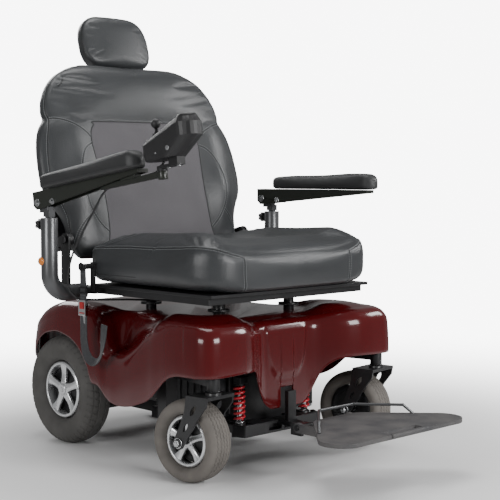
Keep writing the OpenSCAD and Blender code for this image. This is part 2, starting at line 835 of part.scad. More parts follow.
// Stick with its cross shaft, skirt of the rubber boot and ball
module joystick_stick() {
  color([0.05, 0.05, 0.05]) arm_set(-1) translate([arm_x, stick_y, gimbal_z]) {
    rotate([90, 0, 0]) cylinder(h = 20, r = 2.5, center = true);
    translate([0, 0, -6]) cylinder(h = 54, r = 4);
    translate([0, 0, 17]) cylinder(h = 15, r1 = 11, r2 = 6);
    translate([0, 0, 56]) sphere(13);
  }
}

module key(k) {
  color([0.8, 0.8, 0.78]) arm_set(-1) key_place(k) {
    translate([0, 0, -2]) cylinder(h = 7, r = 6.6);
  }
}

// ---- leads ----
// Tube swept along a list of points, eight-sided; side is a direction the route never takes
module lead(points, r, side) {
  sides = 8;
  n = len(points);
  dirs = [for (i = [0:n - 1])
    let (a = points[max(0, i - 1)], b = points[min(n - 1, i + 1)]) (b - a) / norm(b - a)];
  pts = [for (i = [0:n - 1], j = [0:sides - 1])
    let (
      u = cross(side, dirs[i]) / norm(cross(side, dirs[i])),
      v = cross(dirs[i], u),
      t = 360 * j / sides
    )
    points[i] + r * cos(t) * u + r * sin(t) * v];
  walls = [for (i = [0:n - 2], j = [0:sides - 1])
    [i * sides + j, (i + 1) * sides + j, (i + 1) * sides + (j + 1) % sides, i * sides + (j + 1) % sides]];
  first = [for (j = [0:sides - 1]) j];
  last = [for (j = [sides - 1:-1:0]) (n - 1) * sides + j];
  polyhedron(points = pts, faces = concat(walls, [first, last]));
}

module joystick_cable() { color([0.05, 0.05, 0.05]) lead(lead_points, lead_r, [1, 0, 0]); }

module controller_cable() { color([0.05, 0.05, 0.05]) lead(seat_lead_points, lead_r, [0, 1, 0]); }

// ---- seat belt, right half, hanging from its anchor ----
belt_x = -391.5;
belt_w = 26;
belt_t = 2.5;

module seat_belt() {
  loop_y = 205;
  loop_z = 330;
  color([0.06, 0.06, 0.07]) {
    translate([belt_x, 0, 0]) rotate([90, 0, 90]) linear_extrude(belt_t) {
      translate([250 - belt_w / 2, 455]) square([belt_w, 120]);
      translate([245 - belt_w / 2, loop_z]) square([belt_w, 90]);
      translate([165 - belt_w / 2, loop_z]) square([belt_w, 70]);
      difference() {
        translate([loop_y, loop_z]) circle(40 + belt_w / 2);
        translate([loop_y, loop_z]) circle(40 - belt_w / 2);
        translate([loop_y - 80, loop_z]) square([160, 80]);
      }
    }
    translate([belt_x - 5, 250, 566]) along_x() cylinder(h = 44, r = 9);
    translate([-357, 240, 484]) cube([6, 20, 94]);
    translate([-357, 240, 484]) cube([42.8, 20, 6]);
  }
}

module belt_buckle() {
  color(steel) {
    translate([belt_x - 4, 250 - 16, 422]) cube([11, 34, 46]);
    translate([belt_x - 1, 250 - 11, 400]) cube([5, 24, 24]);
  }
}

chassis_frame();
battery_box();
batteries();
motor_controller();
gear_motors();
suspension_pins();
front_cover();
front_fender(-1);  // right_front_fender
front_fender(1);  // left_front_fender
rear_cover();
caster_arm(-1);  // right_caster_arm
caster_arm(1);  // left_caster_arm
spring(-1);  // right_spring
spring(1);  // left_spring
caster_fork(-1);  // right_caster_fork
caster_fork(1);  // left_caster_fork
caster_place(-1) tyre(caster_r, caster_rim_r, caster_half_w);  // right_caster_tyre
caster_place(1) tyre(caster_r, caster_rim_r, caster_half_w);  // left_caster_tyre
caster_place(-1) rim(caster_rim_r, 30, 19, caster_axle_r + run, 20);  // right_caster_rim
caster_place(1) rim(caster_rim_r, 30, 19, caster_axle_r + run, 20);  // left_caster_rim
drive_place(-1) tyre(drive_r, drive_rim_r, drive_half_w);  // right_drive_tyre
drive_place(1) tyre(drive_r, drive_rim_r, drive_half_w);  // left_drive_tyre
drive_place(-1) facing(-1) rim(drive_rim_r, 34, 24, axle_r + run, 24);  // right_drive_rim
drive_place(1) rim(drive_rim_r, 34, 24, axle_r + run, 24);  // left_drive_rim
freewheel_lever(-1);  // right_freewheel_lever
freewheel_lever(1);  // left_freewheel_lever
anti_tip_arms();
anti_tip_wheel(-1);  // right_anti_tip_wheel
anti_tip_wheel(1);  // left_anti_tip_wheel
foot_hanger();
footplate();
heel_loop();
seat_posts();
seat_frame();
seat_cushion();
back_hinges();
back_frame();
back_cushion();
headrest_posts();
headrest();
arm_tube(-1);  // right_arm_tube
arm_tube(1);  // left_arm_tube
arm_knob(-1);  // right_arm_knob
arm_knob(1);  // left_arm_knob
arm_post(-1);  // right_arm_post
arm_post(1);  // left_arm_post
arm_bracket(-1);  // right_arm_bracket
arm_bracket(1);  // left_arm_bracket
arm_pad(-1);  // right_arm_pad
arm_pad(1);  // left_arm_pad
joystick_bracket();
joystick_case();
joystick_gimbal();
joystick_stick();
key(-1);  // power_key
key(1);  // horn_key
joystick_cable();
controller_cable();
seat_belt();
belt_buckle();
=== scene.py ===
import math

import bpy
import numpy as np
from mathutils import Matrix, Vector
from mathutils.bvhtree import BVHTree


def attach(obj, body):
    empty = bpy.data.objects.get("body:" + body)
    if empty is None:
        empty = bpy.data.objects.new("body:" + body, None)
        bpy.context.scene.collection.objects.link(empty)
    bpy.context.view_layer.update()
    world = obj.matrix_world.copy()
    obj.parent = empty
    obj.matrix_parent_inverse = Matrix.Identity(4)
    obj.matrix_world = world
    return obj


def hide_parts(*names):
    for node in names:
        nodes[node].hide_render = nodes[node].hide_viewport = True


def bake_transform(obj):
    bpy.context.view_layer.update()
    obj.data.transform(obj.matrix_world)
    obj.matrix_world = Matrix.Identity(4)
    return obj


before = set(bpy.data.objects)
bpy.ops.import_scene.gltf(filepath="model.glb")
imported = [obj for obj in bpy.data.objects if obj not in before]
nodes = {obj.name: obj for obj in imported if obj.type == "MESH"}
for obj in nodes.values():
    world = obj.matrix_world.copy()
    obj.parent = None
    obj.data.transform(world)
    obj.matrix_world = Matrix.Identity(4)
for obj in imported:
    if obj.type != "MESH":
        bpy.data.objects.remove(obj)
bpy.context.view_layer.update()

# ---- camera ----
cam_data = bpy.data.cameras.new("camera")
cam_data.lens = 87.58
cam_data.sensor_width = 36
camera = bpy.data.objects.new("camera", cam_data)
camera.location = (-2.513, -2.642, 0.836)
camera.rotation_euler = (math.radians(86.44), 0, math.radians(-44.12))
bpy.context.scene.collection.objects.link(camera)
bpy.context.scene.camera = camera


# ---- materials ----
def shader_node(tree, kind, values=None, links=None):
    """Adds a shader node, sets its inputs and links sources to them."""
    n = tree.nodes.new("ShaderNode" + kind)
    for key, value in (values or {}).items():
        n.inputs[key].default_value = value
    for key, source in (links or {}).items():
        tree.links.new(source, n.inputs[key])
    return n


BUMPS = {"noise": ("TexNoise", "Fac"), "grain": ("TexVoronoi", "Distance"), "checker": ("TexChecker", "Fac")}


def material(name, colour, rough, metal=0.0, coat=0.0, spec=0.5, vary=0.06, vary_scale=12.0, bump=0.0,
             bump_scale=400.0, bump_kind="noise", rough_vary=0.05, sheen=0.0, second=None, stretch=(1, 1, 1)):
    """A painted, moulded, cast or woven finish whose colour, gloss and grain all vary over the surface."""
    m = bpy.data.materials.new(name)
    m.use_nodes = True
    t = m.node_tree
    p = t.nodes["Principled BSDF"]
    for key, value in {"Metallic": metal, "Specular IOR Level": spec, "Coat Weight": coat,
                       "Coat Roughness": 0.06, "Sheen Weight": sheen}.items():
        p.inputs[key].default_value = value
    coord = shader_node(t, "TexCoord").outputs["Object"]
    place = shader_node(t, "Mapping", {"Scale": stretch}, {"Vector": coord}).outputs["Vector"]
    patches = shader_node(t, "TexNoise", {"Scale": vary_scale, "Detail": 4}, {"Vector": place}).outputs["Fac"]
    ramp = shader_node(t, "ValToRGB", {}, {"Fac": patches})
    low, high = ramp.color_ramp.elements
    low.position, high.position = 0.3, 0.7
    low.color = (*[c * (1 - vary) for c in colour], 1)
    high.color = (*[min(1.0, c * (1 + vary)) for c in (second or colour)], 1)
    t.links.new(ramp.outputs["Color"], p.inputs["Base Color"])
    gloss = {"To Min": max(0.02, rough - rough_vary), "To Max": min(1.0, rough + rough_vary)}
    t.links.new(shader_node(t, "MapRange", gloss, {"Value": patches}).outputs["Result"], p.inputs["Roughness"])
    if bump:
        kind, output = BUMPS[bump_kind]
        fine = shader_node(t, kind, {"Scale": bump_scale}, {"Vector": place})
        b = shader_node(t, "Bump", {"Strength": 0.5, "Distance": bump}, {"Height": fine.outputs[output]})
        t.links.new(b.outputs["Normal"], p.inputs["Normal"])
    return m


MAROON = material("maroon_gloss", (0.080, 0.003, 0.004), 0.20, coat=0.42, spec=0.3, vary=0.05, vary_scale=5,
                  rough_vary=0.03, bump=0.0002, bump_scale=60)
LEATHER = material("grey_leather", (0.036, 0.0385, 0.041), 0.34, spec=0.6, vary=0.10, vary_scale=9, bump=0.0006,
                   bump_scale=520, bump_kind="grain", rough_vary=0.07)
FABRIC = material("panel_fabric", (0.115, 0.110, 0.118), 0.78, spec=0.25, vary=0.06, vary_scale=14, bump=0.0005,
                  bump_scale=700, bump_kind="checker", sheen=0.15)
THREAD = material("grey_thread", (0.20, 0.21, 0.215), 0.7, vary=0.08, vary_scale=300, bump=0.0002,
                  bump_scale=2500)
SEAM = material("seam_shadow", (0.020, 0.021, 0.022), 0.6, vary=0.1, vary_scale=80, bump=0.0002, bump_scale=900)
TYRE = material("tyre_rubber", (0.085, 0.082, 0.078), 0.72, spec=0.35, vary=0.14, vary_scale=22, bump=0.0005,
                bump_scale=420)
TYRE_WARM = material("caster_rubber", (0.150, 0.137, 0.124), 0.74, spec=0.32, vary=0.14, vary_scale=26,
                     bump=0.0005, bump_scale=420)
RIM = material("rim_silver", (0.72, 0.73, 0.74), 0.28, metal=0.75, vary=0.04, vary_scale=30, bump=0.0001,
               bump_scale=900)
DISH = material("rim_black", (0.012, 0.012, 0.013), 0.45, vary=0.15, vary_scale=40, bump=0.0002, bump_scale=500)
FRAME = material("black_powder_coat", (0.014, 0.014, 0.015), 0.36, vary=0.15, vary_scale=20, bump=0.0003,
                 bump_scale=900)
FORK = material("charcoal_paint", (0.022, 0.022, 0.023), 0.34, vary=0.12, vary_scale=18, bump=0.0002,
                bump_scale=700)
PLASTIC = material("black_plastic", (0.017, 0.017, 0.018), 0.42, vary=0.12, vary_scale=25, bump=0.0004,
                   bump_scale=1100)
GUNMETAL = material("gunmetal_tube", (0.120, 0.122, 0.126), 0.30, metal=0.65, vary=0.06, vary_scale=18,
                    bump=0.0001, bump_scale=600)
ARM_METAL = material("arm_bracket_paint", (0.018, 0.021, 0.016), 0.33, vary=0.12, vary_scale=16, bump=0.0002,
                     bump_scale=700)
STEEL = material("bright_steel", (0.56, 0.57, 0.58), 0.24, metal=1.0, vary=0.05, vary_scale=60, bump=0.0001,
                 bump_scale=1400)
CHROME = material("chrome", (0.78, 0.79, 0.80), 0.09, metal=1.0, vary=0.03, vary_scale=40, bump=0.0001,
                  bump_scale=600)
SPRING = material("red_spring", (0.52, 0.022, 0.035), 0.26, coat=0.4, vary=0.08, vary_scale=50, bump=0.0001,
                  bump_scale=900)
LEVER = material("red_lever", (0.40, 0.02, 0.02), 0.4, vary=0.08, vary_scale=40, bump=0.0002, bump_scale=900)
MOTOR = material("motor_paint", (0.030, 0.031, 0.033), 0.5, vary=0.18, vary_scale=30, bump=0.0006,
                 bump_scale=300)
PLATE = material("footplate_grain", (0.068, 0.067, 0.071), 0.62, vary=0.22, vary_scale=16, bump=0.0009,
                 bump_scale=260, bump_kind="grain", second=(0.084, 0.080, 0.078))
PAD = material("arm_pad_skin", (0.030, 0.031, 0.032), 0.48, vary=0.10, vary_scale=12, bump=0.0005,
               bump_scale=600, bump_kind="grain")
WEBBING = material("belt_webbing", (0.030, 0.031, 0.035), 0.62, vary=0.2, vary_scale=60, bump=0.0008,
                   bump_scale=500, bump_kind="checker", sheen=0.3, stretch=(1, 1, 3))
CABLE = material("cable_rubber", (0.020, 0.020, 0.021), 0.45, vary=0.1, vary_scale=60, bump=0.0001,
                 bump_scale=700)
AMBER = material("amber_reflector", (0.75, 0.24, 0.04), 0.2, coat=0.5, vary=0.12, vary_scale=200, bump=0.0006,
                 bump_scale=500, bump_kind="grain")
KEY = material("key_grey", (0.34, 0.35, 0.34), 0.5, vary=0.08, vary_scale=200, bump=0.0002, bump_scale=900)
LED = material("dial_face", (0.10, 0.10, 0.105), 0.3, vary=0.15, vary_scale=150, bump=0.0002, bump_scale=900)
BOX = material("battery_case", (0.016, 0.017, 0.019), 0.48, vary=0.2, vary_scale=30, bump=0.0005,
               bump_scale=500)
FLOOR = material("floor", (0.86, 0.86, 0.86), 0.9, spec=0.1, vary=0.01, vary_scale=3, bump=0.0002,
                 bump_scale=30)
SKY_SEEN, SKY_LIGHT = 8.0, 0.26

# each CAD node's finish and, below, the width of its rounded edges; both_ stands for the right and the left one
PAINT = [
    (FRAME, "chassis_frame both_caster_arm anti_tip_arms foot_hanger seat_posts seat_frame back_hinges "
     "joystick_bracket"),
    (BOX, "battery_box batteries"),
    (STEEL, "motor_controller suspension_pins headrest_posts"),
    (MOTOR, "gear_motors"),
    (SPRING, "both_spring"),
    (FORK, "both_caster_fork"),
    (LEVER, "both_freewheel_lever"),
    (TYRE, "both_anti_tip_wheel"),
    (PLATE, "footplate"),
    (GUNMETAL, "heel_loop both_arm_tube both_arm_post"),
    (PLASTIC, "back_frame both_arm_knob joystick_case joystick_gimbal joystick_stick"),
    (ARM_METAL, "both_arm_bracket"),
    (KEY, "power_key horn_key"),
    (CABLE, "joystick_cable controller_cable"),
    (WEBBING, "seat_belt"),
    (CHROME, "belt_buckle"),
]
EDGES = [
    (1.5, "chassis_frame joystick_case"),
    (1.2, "both_caster_fork seat_frame both_caster_arm foot_hanger belt_buckle both_arm_post"),
    (2.5, "footplate"),
    (1.0, "back_hinges both_arm_bracket joystick_bracket battery_box motor_controller both_arm_knob "
     "both_arm_tube seat_posts"),
    (2.0, "back_frame gear_motors batteries"),
    (0.8, "anti_tip_arms both_freewheel_lever power_key horn_key"),
    (0.5, "joystick_gimbal"),
]


def each_node(table):
    for value, names in table:
        for word in names.split():
            sides = ("right_", "left_") if word.startswith("both_") else ("",)
            for s in sides:
                yield nodes[s + word.removeprefix("both_")], value


for o, paint in each_node(PAINT):
    o.data.materials.clear()
    o.data.materials.append(paint)
for o, width in each_node(EDGES):
    weld = o.modifiers.new("weld", "WELD")
    weld.merge_threshold = 0.00001
    bevel = o.modifiers.new("bevel", "BEVEL")
    bevel.width = width / 1000
    bevel.segments = 2
    bevel.limit_method = "ANGLE"
    bevel.angle_limit = math.radians(40)


# ---- mesh helpers; lengths in millimetres ----
def mesh_object(name, verts, faces, mat, smooth=True):
    me = bpy.data.meshes.new(name)
    me.from_pydata([tuple(v) for v in np.asarray(verts, float) / 1000], [], [list(map(int, f)) for f in faces])
    me.update()
    me.materials.append(mat)
    if smooth:
        me.polygons.foreach_set("use_smooth", [True] * len(me.polygons))
    o = bpy.data.objects.new(name, me)
    bpy.context.scene.collection.objects.link(o)
    return o


def grid_faces(n, m, close_m=False, close_n=False, flip=False):
    out = []
    for i in range(n if close_n else n - 1):
        for j in range(m if close_m else m - 1):
            a, b = i * m + j, i * m + (j + 1) % m
            c, d = ((i + 1) % n) * m + (j + 1) % m, ((i + 1) % n) * m + j
            out.append((a, d, c, b) if flip else (a, b, c, d))
    return out


def curve_at(xs, table):
    """Smooth interpolation of a table of (x, value) rows."""
    t = np.array(table, float)
    k, v = t[:, 0], t[:, 1:]
    h = np.diff(k)
    slope = np.diff(v, axis=0) / h[:, None]
    m = np.zeros_like(v)
    m[0], m[-1] = slope[0], slope[-1]
    for i in range(1, len(k) - 1):
        a, b = slope[i - 1], slope[i]
        w1, w2 = 2 * h[i] + h[i - 1], h[i] + 2 * h[i - 1]
        with np.errstate(divide="ignore", invalid="ignore"):
            m[i] = np.where(a * b > 0, (w1 + w2) / (w1 / a + w2 / b), 0)
    xs = np.clip(np.atleast_1d(xs), k[0], k[-1])
    i = np.clip(np.searchsorted(k, xs) - 1, 0, len(k) - 2)
    s = ((xs - k[i]) / h[i])[:, None]
    hh = h[i][:, None]
    r = ((2 * s**3 - 3 * s**2 + 1) * v[i] + (s**3 - 2 * s**2 + s) * hh * m[i]
         + (-2 * s**3 + 3 * s**2) * v[i + 1] + (s**3 - s**2) * hh * m[i + 1])
    return r[:, 0] if r.shape[1] == 1 else r


def resample(points, step):
    p = np.array(points, float)
    d = np.r_[0, np.cumsum(np.linalg.norm(np.diff(p, axis=0), axis=1))]
    n = max(2, int(round(d[-1] / step)) + 1)
    s = np.linspace(0, d[-1], n)
    return np.stack([np.interp(s, d, p[:, i]) for i in range(p.shape[1])], 1)


def smooth_path(points, step):
    """A rounded path through the points, at even steps."""
    p = np.array(points, float)
    q = np.vstack([2 * p[0] - p[1], p, 2 * p[-1] - p[-2]])
    out = []
    for i in range(1, len(q) - 2):
        t = np.linspace(0, 1, 12, endpoint=False)[:, None]
        a, b, c, d = q[i - 1], q[i], q[i + 1], q[i + 2]
        out.append(0.5 * (2 * b + (c - a) * t + (2 * a - 5 * b + 4 * c - d) * t**2 + (3 * b - a - 3 * c + d)
                          * t**3))
    return resample(np.vstack(out + [p[-1:]]), step)


def tube_mesh(path, r, sides=8, squash=1.0, ups=None):
    p = np.array(path, float)
    d = np.gradient(p, axis=0)
    d /= np.linalg.norm(d, axis=1)[:, None]
    u = np.cross(d[0], [0.0, 0, 1]) if abs(d[0][2]) < 0.9 else np.cross(d[0], [1.0, 0, 0])
    verts = []
    for i in range(len(p)):
        if ups is not None:
            u = np.cross(ups[i], d[i])
        u = u - d[i] * (u @ d[i])
        u /= np.linalg.norm(u) + 1e-12
        v = np.cross(d[i], u)
        for k in range(sides):
            a = 2 * math.pi * k / sides
            verts.append(p[i] + r * math.cos(a) * u + r * squash * math.sin(a) * v)
    faces = grid_faces(len(p), sides, close_m=True)
    faces += [list(range(sides))[::-1], [(len(p) - 1) * sides + k for k in range(sides)]]
    return verts, faces


def merged(parts):
    verts, faces = [], []
    for v, f in parts:
        base = len(verts)
        verts += [tuple(x) for x in v]
        faces += [[i + base for i in g] for g in f]
    return verts, faces


def revolve(profile, n, centre, axis_turn=0.0, side=1, wobble=None, closed=True):
    """Turns (axial, radius) rows about an X axis; wobble(angle, axial, radius) gives a radius."""
    pr = np.array(profile, float)
    a = np.linspace(0, 2 * math.pi, n, endpoint=False)
    rad = np.repeat(pr[None, :, 1], n, 0)
    if wobble is not None:
        rad = wobble(a[:, None], pr[None, :, 0], rad)
    x = np.repeat(pr[None, :, 0], n, 0) * side
    y, z = rad * np.cos(a)[:, None], rad * np.sin(a)[:, None]
    c, s = math.cos(axis_turn), math.sin(axis_turn)
    v = np.stack([x * c - y * s + centre[0], x * s + y * c + centre[1], z + centre[2]], -1).reshape(-1, 3)
    return v, grid_faces(n, len(pr), close_m=closed, close_n=True, flip=side < 0)


def box_mesh(centre, size, turn=None):
    s = np.array([[x, y, z] for x in (-1, 1) for y in (-1, 1) for z in (-1, 1)], float) * np.array(size) / 2
    if turn is not None:
        s = s @ np.array(turn).T
    f = [(0, 1, 3, 2), (4, 6, 7, 5), (0, 4, 5, 1), (2, 3, 7, 6), (0, 2, 6, 4), (1, 5, 7, 3)]
    return s + np.array(centre, float), f


def rod_mesh(p, q, r, n=24, r2=None):
    p, q = np.array(p, float), np.array(q, float)
    d = (q - p) / np.linalg.norm(q - p)
    u = np.cross(d, [0, 0, 1.0]) if abs(d[2]) < 0.9 else np.cross(d, [1.0, 0, 0])
    u /= np.linalg.norm(u)
    v = np.cross(d, u)
    verts = [c + rr * (math.cos(2 * math.pi * k / n) * u + math.sin(2 * math.pi * k / n) * v)
             for c, rr in ((p, r), (q, r if r2 is None else r2)) for k in range(n)]
    faces = [(k, (k + 1) % n, n + (k + 1) % n, n + k) for k in range(n)]
    return verts, faces + [list(range(n))[::-1], list(range(n, 2 * n))]


def add_bevel(o, width, segments=2, angle=40):
    b = o.modifiers.new("bevel", "BEVEL")
    b.width, b.segments, b.limit_method = width / 1000, segments, "ANGLE"
    b.angle_limit = math.radians(angle)
    return o


def piece(name, mesh, mat, body, smooth=True, bevel=0.0, replaces=()):
    """An object made from (vertices, faces) that rides on a body and may replace CAD nodes."""
    o = mesh_object(name, *mesh, mat, smooth)
    if bevel:
        add_bevel(o, bevel)
    if replaces:
        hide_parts(*replaces)
    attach(o, body)
    return o


def flatten_modifiers(o):
    dg = bpy.context.evaluated_depsgraph_get()
    me = bpy.data.meshes.new_from_object(o.evaluated_get(dg))
    o.modifiers.clear()
    o.data = me
    return o


def co_of(me):
    co = np.zeros(len(me.vertices) * 3)
    me.vertices.foreach_get("co", co)
    return co.reshape(-1, 3) * 1000


# ---- padded pieces ----
def loft(rows, cap=True):
    """Closed tube through rows of loops with the same number of points."""
    n, m = len(rows), len(rows[0])
    verts = np.array(rows).reshape(-1, 3)
    faces = grid_faces(n, m, close_m=True)
    if cap:
        faces += [list(range(m))[::-1], list(range((n - 1) * m, n * m))]
    return verts, faces


def puff(o, voxel, pressure, cap, pinned):
    """Swells a closed mesh as cloth under pressure; pinned(points) gives each one's hold, 0 to 1."""
    re = o.modifiers.new("remesh", "REMESH")
    re.mode, re.voxel_size, re.use_smooth_shade = "VOXEL", voxel / 1000, True
    flatten_modifiers(o)
    rest = co_of(o.data)
    hold = np.clip(pinned(rest), 0, 1)
    g = o.vertex_groups.new(name="held")
    for w in np.unique(np.round(hold, 1)):
        if w > 0:
            g.add([int(i) for i in np.nonzero(np.round(hold, 1) == w)[0]], float(w), "REPLACE")
    c = o.modifiers.new("cloth", "CLOTH")
    st = c.settings
    st.quality, st.mass = 4, 0.3
    st.tension_stiffness = st.compression_stiffness = 12
    st.shear_stiffness, st.bending_stiffness = 6, 1.5
    st.use_pressure, st.uniform_pressure_force = True, pressure
    st.effector_weights.gravity = 0
    st.vertex_group_mass = "held"
    sc = bpy.context.scene
    for f in range(1, 21):
        sc.frame_set(f)
    dg = bpy.context.evaluated_depsgraph_get()
    moved = co_of(o.evaluated_get(dg).to_mesh())
    sc.frame_set(1)
    o.modifiers.clear()
    d = moved - rest
    length = np.linalg.norm(d, axis=1)[:, None] + 1e-9
    out = rest + d * np.minimum(1, cap / length)
    o.data.vertices.foreach_set("co", (out / 1000).ravel())
    o.data.update()
    o.vertex_groups.clear()
    sub = o.modifiers.new("subdivision", "SUBSURF")
    sub.levels = sub.render_levels = 1
    flatten_modifiers(o)
    o.data.polygons.foreach_set("use_smooth", [True] * len(o.data.polygons))
    return o


def upholster(o, node, body):
    """Gives a finished cushion its place in the object and returns its surface for the seams."""
    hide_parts(node)
    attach(o, body)
    return surface_of(o)


def surface_of(o):
    bpy.context.view_layer.update()
    return BVHTree.FromObject(o, bpy.context.evaluated_depsgraph_get())


def onto(tree, points, direction, back=120):
    """Points moved along direction onto the surface, and the normals there."""
    d = Vector(direction).normalized()
    out, normals = [], []
    for p in points:
        hit, n, _, _ = tree.ray_cast(Vector(p) / 1000 - d * back / 1000, d)
        if hit is None:
            hit, n, _, _ = tree.find_nearest(Vector(p) / 1000)
        out.append(np.array(hit) * 1000)
        normals.append(np.array(n))
    return np.array(out), np.array(normals)


def near_surface(tree, points):
    out, normals = [], []
    for p in points:
        hit, n, _, _ = tree.find_nearest(Vector(p) / 1000)
        out.append(np.array(hit) * 1000)
        normals.append(np.array(n))
    return np.array(out), np.array(normals)


def seam_parts(path, normals, r=1.5):
    return tube_mesh(np.array(path) - 0.4 * np.array(normals), r, 6)


def stitch_parts(path, normals, offset, pitch=7.0, length=4.6, width=1.3):
    """Short raised stitches beside a seam; offset is the distance to the side in millimetres."""
    p = np.array(path, float)
    d = np.r_[0, np.cumsum(np.linalg.norm(np.diff(p, axis=0), axis=1))]
    parts = []
    for s in np.arange(pitch / 2, d[-1] - pitch / 2, pitch):
        c = np.array([np.interp(s, d, p[:, i]) for i in range(3)])
        e = np.array([np.interp(min(s + 2, d[-1]), d, p[:, i]) for i in range(3)])
        n = np.array([np.interp(s, d, np.array(normals)[:, i]) for i in range(3)])
        t = e - c
        t /= np.linalg.norm(t) + 1e-9
        n = n - t * (n @ t)
        n /= np.linalg.norm(n) + 1e-9
        b = np.cross(t, n)
        parts.append(box_mesh(c + offset * b + 0.3 * n, (length, width, 0.9), np.stack([t, b, n], 1)))
    return parts


# ---- shroud: one moulded skin from the rear panel round both fenders to the centre panel ----
# outline: x, y, lower edge, shoulder height, shoulder radius, inner line x and y, inner height, crest height
OUTLINE = [
    (0, -205, 222, 417, 36, 0, -120, 424, 0),
    (25.8, -205, 222, 417, 36, 24, -120, 424, 0),
    (26.2, -205, 163, 417, 36, 26, -120, 424, 0),
    (60, -205, 164, 417, 36, 60, -120, 424, 0),
    (84, -205, 176, 416, 36, 84, -120, 424, 0),
    (98, -207, 192, 416, 36, 97, -120, 423, 0),
    (112, -211, 216, 416, 38, 110, -120, 422, 0),
    (128, -219, 246, 418, 40, 122, -120, 422, 1),
    (150, -236, 274, 421, 42, 138, -120, 423, 3),
    (178, -258, 290, 425, 45, 156, -118, 424, 8),
    (210, -276, 295, 429, 47, 172, -112, 425, 14),
    (245, -287, 296, 432, 49, 186, -104, 426, 18),
    (290, -291, 295, 433, 50, 198, -92, 426, 18),
    (335, -291, 294, 433, 50, 206, -78, 426, 18),
    (362, -285, 294, 433, 50, 210, -64, 426, 18),
    (381, -268, 294, 433, 50, 213, -50, 426, 18),
    (391, -243, 293, 434, 50, 215, -36, 426, 17),
    (393, -205, 293, 435, 50, 215, -22, 426, 16),
    (392, -170, 291, 436, 50, 215, -8, 425, 15),
    (390, -140, 284, 436, 50, 215, 6, 425, 14),
    (388, -114, 271, 434, 50, 215, 22, 425, 12),
    (385, -85, 247, 429, 50, 215, 38, 425, 8),
    (382, -55, 222, 419, 52, 215, 54, 425, 3),
    (378, -25, 203, 403, 54, 215, 68, 424, 0),
    (374, 15, 188, 384, 56, 215, 84, 424, 0),
    (370, 55, 176, 362, 58, 215, 104, 424, 0),
    (365, 95, 169, 344, 60, 215, 124, 424, 0),
    (360, 135, 166, 328, 60, 215, 146, 424, 0),
    (356, 170, 170, 320, 58, 215, 172, 424, 0),
    (352, 198, 180, 319, 54, 215, 198, 424, 0),
    (350, 216, 192, 330, 54, 215, 214, 424, 0),
    (349, 232, 204, 360, 58, 215, 230, 424, 0),
    (348, 250, 212, 392, 60, 215, 248, 424, 2),
    (347, 273, 214, 414, 62, 215, 268, 424, 5),
    (346, 300, 262, 430, 64, 215, 298, 425, 7),
    (345, 340, 311, 441, 64, 215, 338, 425, 7),
    (344, 390, 339.5, 446, 64, 215, 388, 426, 6),
    (343, 457, 352, 444, 64, 215, 450, 426, 5),
    (340, 510, 344, 432, 62, 215, 500, 426, 4),
    (334, 556, 323, 417, 60, 213, 540, 425, 2),
    (322, 598, 287, 402, 58, 208, 566, 424, 0),
    (300, 632, 252, 396, 52, 190, 584, 424, 0),
    (268, 651, 236, 400, 44, 160, 594, 424, 0),
    (225, 658, 232, 408, 36, 120, 598, 424, 0),
    (110, 660, 232, 412, 32, 60, 600, 424, 0),
    (0, 660, 232, 412, 32, 0, 600, 424, 0),
]


WALL_ROWS = [0, 0.015, 0.04] + [0.08 + 0.92 * i / 22 for i in range(23)]


def shroud_half():
    """Stations from the front middle to the rear middle, each a profile from lower edge to deck."""
    raw = np.array(OUTLINE, float)
    along = np.r_[0, np.cumsum(np.linalg.norm(np.diff(raw[:, :2], axis=0), axis=1) + 0.01)]
    stops = [np.linspace(along[i], along[i + 1], max(2, int((along[i + 1] - along[i]) / 5) + 1), endpoint=False)
             for i in range(len(along) - 1)]
    s = np.r_[np.concatenate(stops), along[-1]]
    rows = curve_at(s, np.c_[along, raw[:, :2]])
    rest = curve_at(s, np.c_[along, raw[:, 2:]])
    out = []
    for (x, y), (zb, zt, r, qx, qy, qz, crest) in zip(rows, rest):
        d = np.array([qx - x, qy - y])
        reach = np.linalg.norm(d)
        d = d / reach
        r = min(r, (zt - zb) * 0.48)
        prof = []
        lean = 7 if y > -200 else 4
        for t in WALL_ROWS:
            z = zb + (zt - r - zb) * t
            inset = lean * t * t + 1.5 * (1 - min(1, t / 0.05))
            prof.append((x + d[0] * inset, y + d[1] * inset, z))
        for k in range(1, 11):
            a = math.radians(9 * k)
            inset = lean + r * (1 - math.cos(a))
            prof.append((x + d[0] * inset, y + d[1] * inset, zt - r + r * math.sin(a)))
        start = lean + r
        for k in range(1, 13):
            t = k / 12
            e = t * t * (3 - 2 * t)
            z = zt + (qz - zt) * e + crest * math.sin(math.pi * t) ** 1.3
            inset = start + (reach - start) * t
            prof.append((x + d[0] * inset, y + d[1] * inset, z))
        out.append(prof)
    return np.array(out)


def shield(v):
    """Raised shield on the centre panel."""
    x, y, z = v[..., 0], v[..., 1], v[..., 2]
    edge = curve_at(z.ravel(), [(248, 0), (252, 30), (262, 52), (290, 71), (330, 79), (385, 86),
                                (400, 86)]).reshape(z.shape)
    inside = np.clip((edge - np.abs(x)) / 9, 0, 1) * np.clip((z - 250) / 9, 0, 1) * np.clip((398 - z) / 14, 0,
                                                                                            1)
    inside = inside * inside * (3 - 2 * inside) * (y < -150)
    v[..., 1] -= 3.2 * inside
    return v


half = shroud_half()
half = shield(half)
other = half[1:-1][::-1].copy()
other[..., 0] *= -1
ring = np.concatenate([half, other])
n_ring, n_prof = ring.shape[:2]
deck = [n_prof * i + n_prof - 1 for i in range(n_ring)]
shroud = mesh_object("shroud", ring.reshape(-1, 3), grid_faces(n_ring, n_prof, close_n=True, flip=True)
                     + [deck], MAROON)
thick = shroud.modifiers.new("thickness", "SOLIDIFY")
thick.thickness, thick.offset = 0.004, -1
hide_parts("front_cover", "right_front_fender", "left_front_fender", "rear_cover")
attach(shroud, "base")


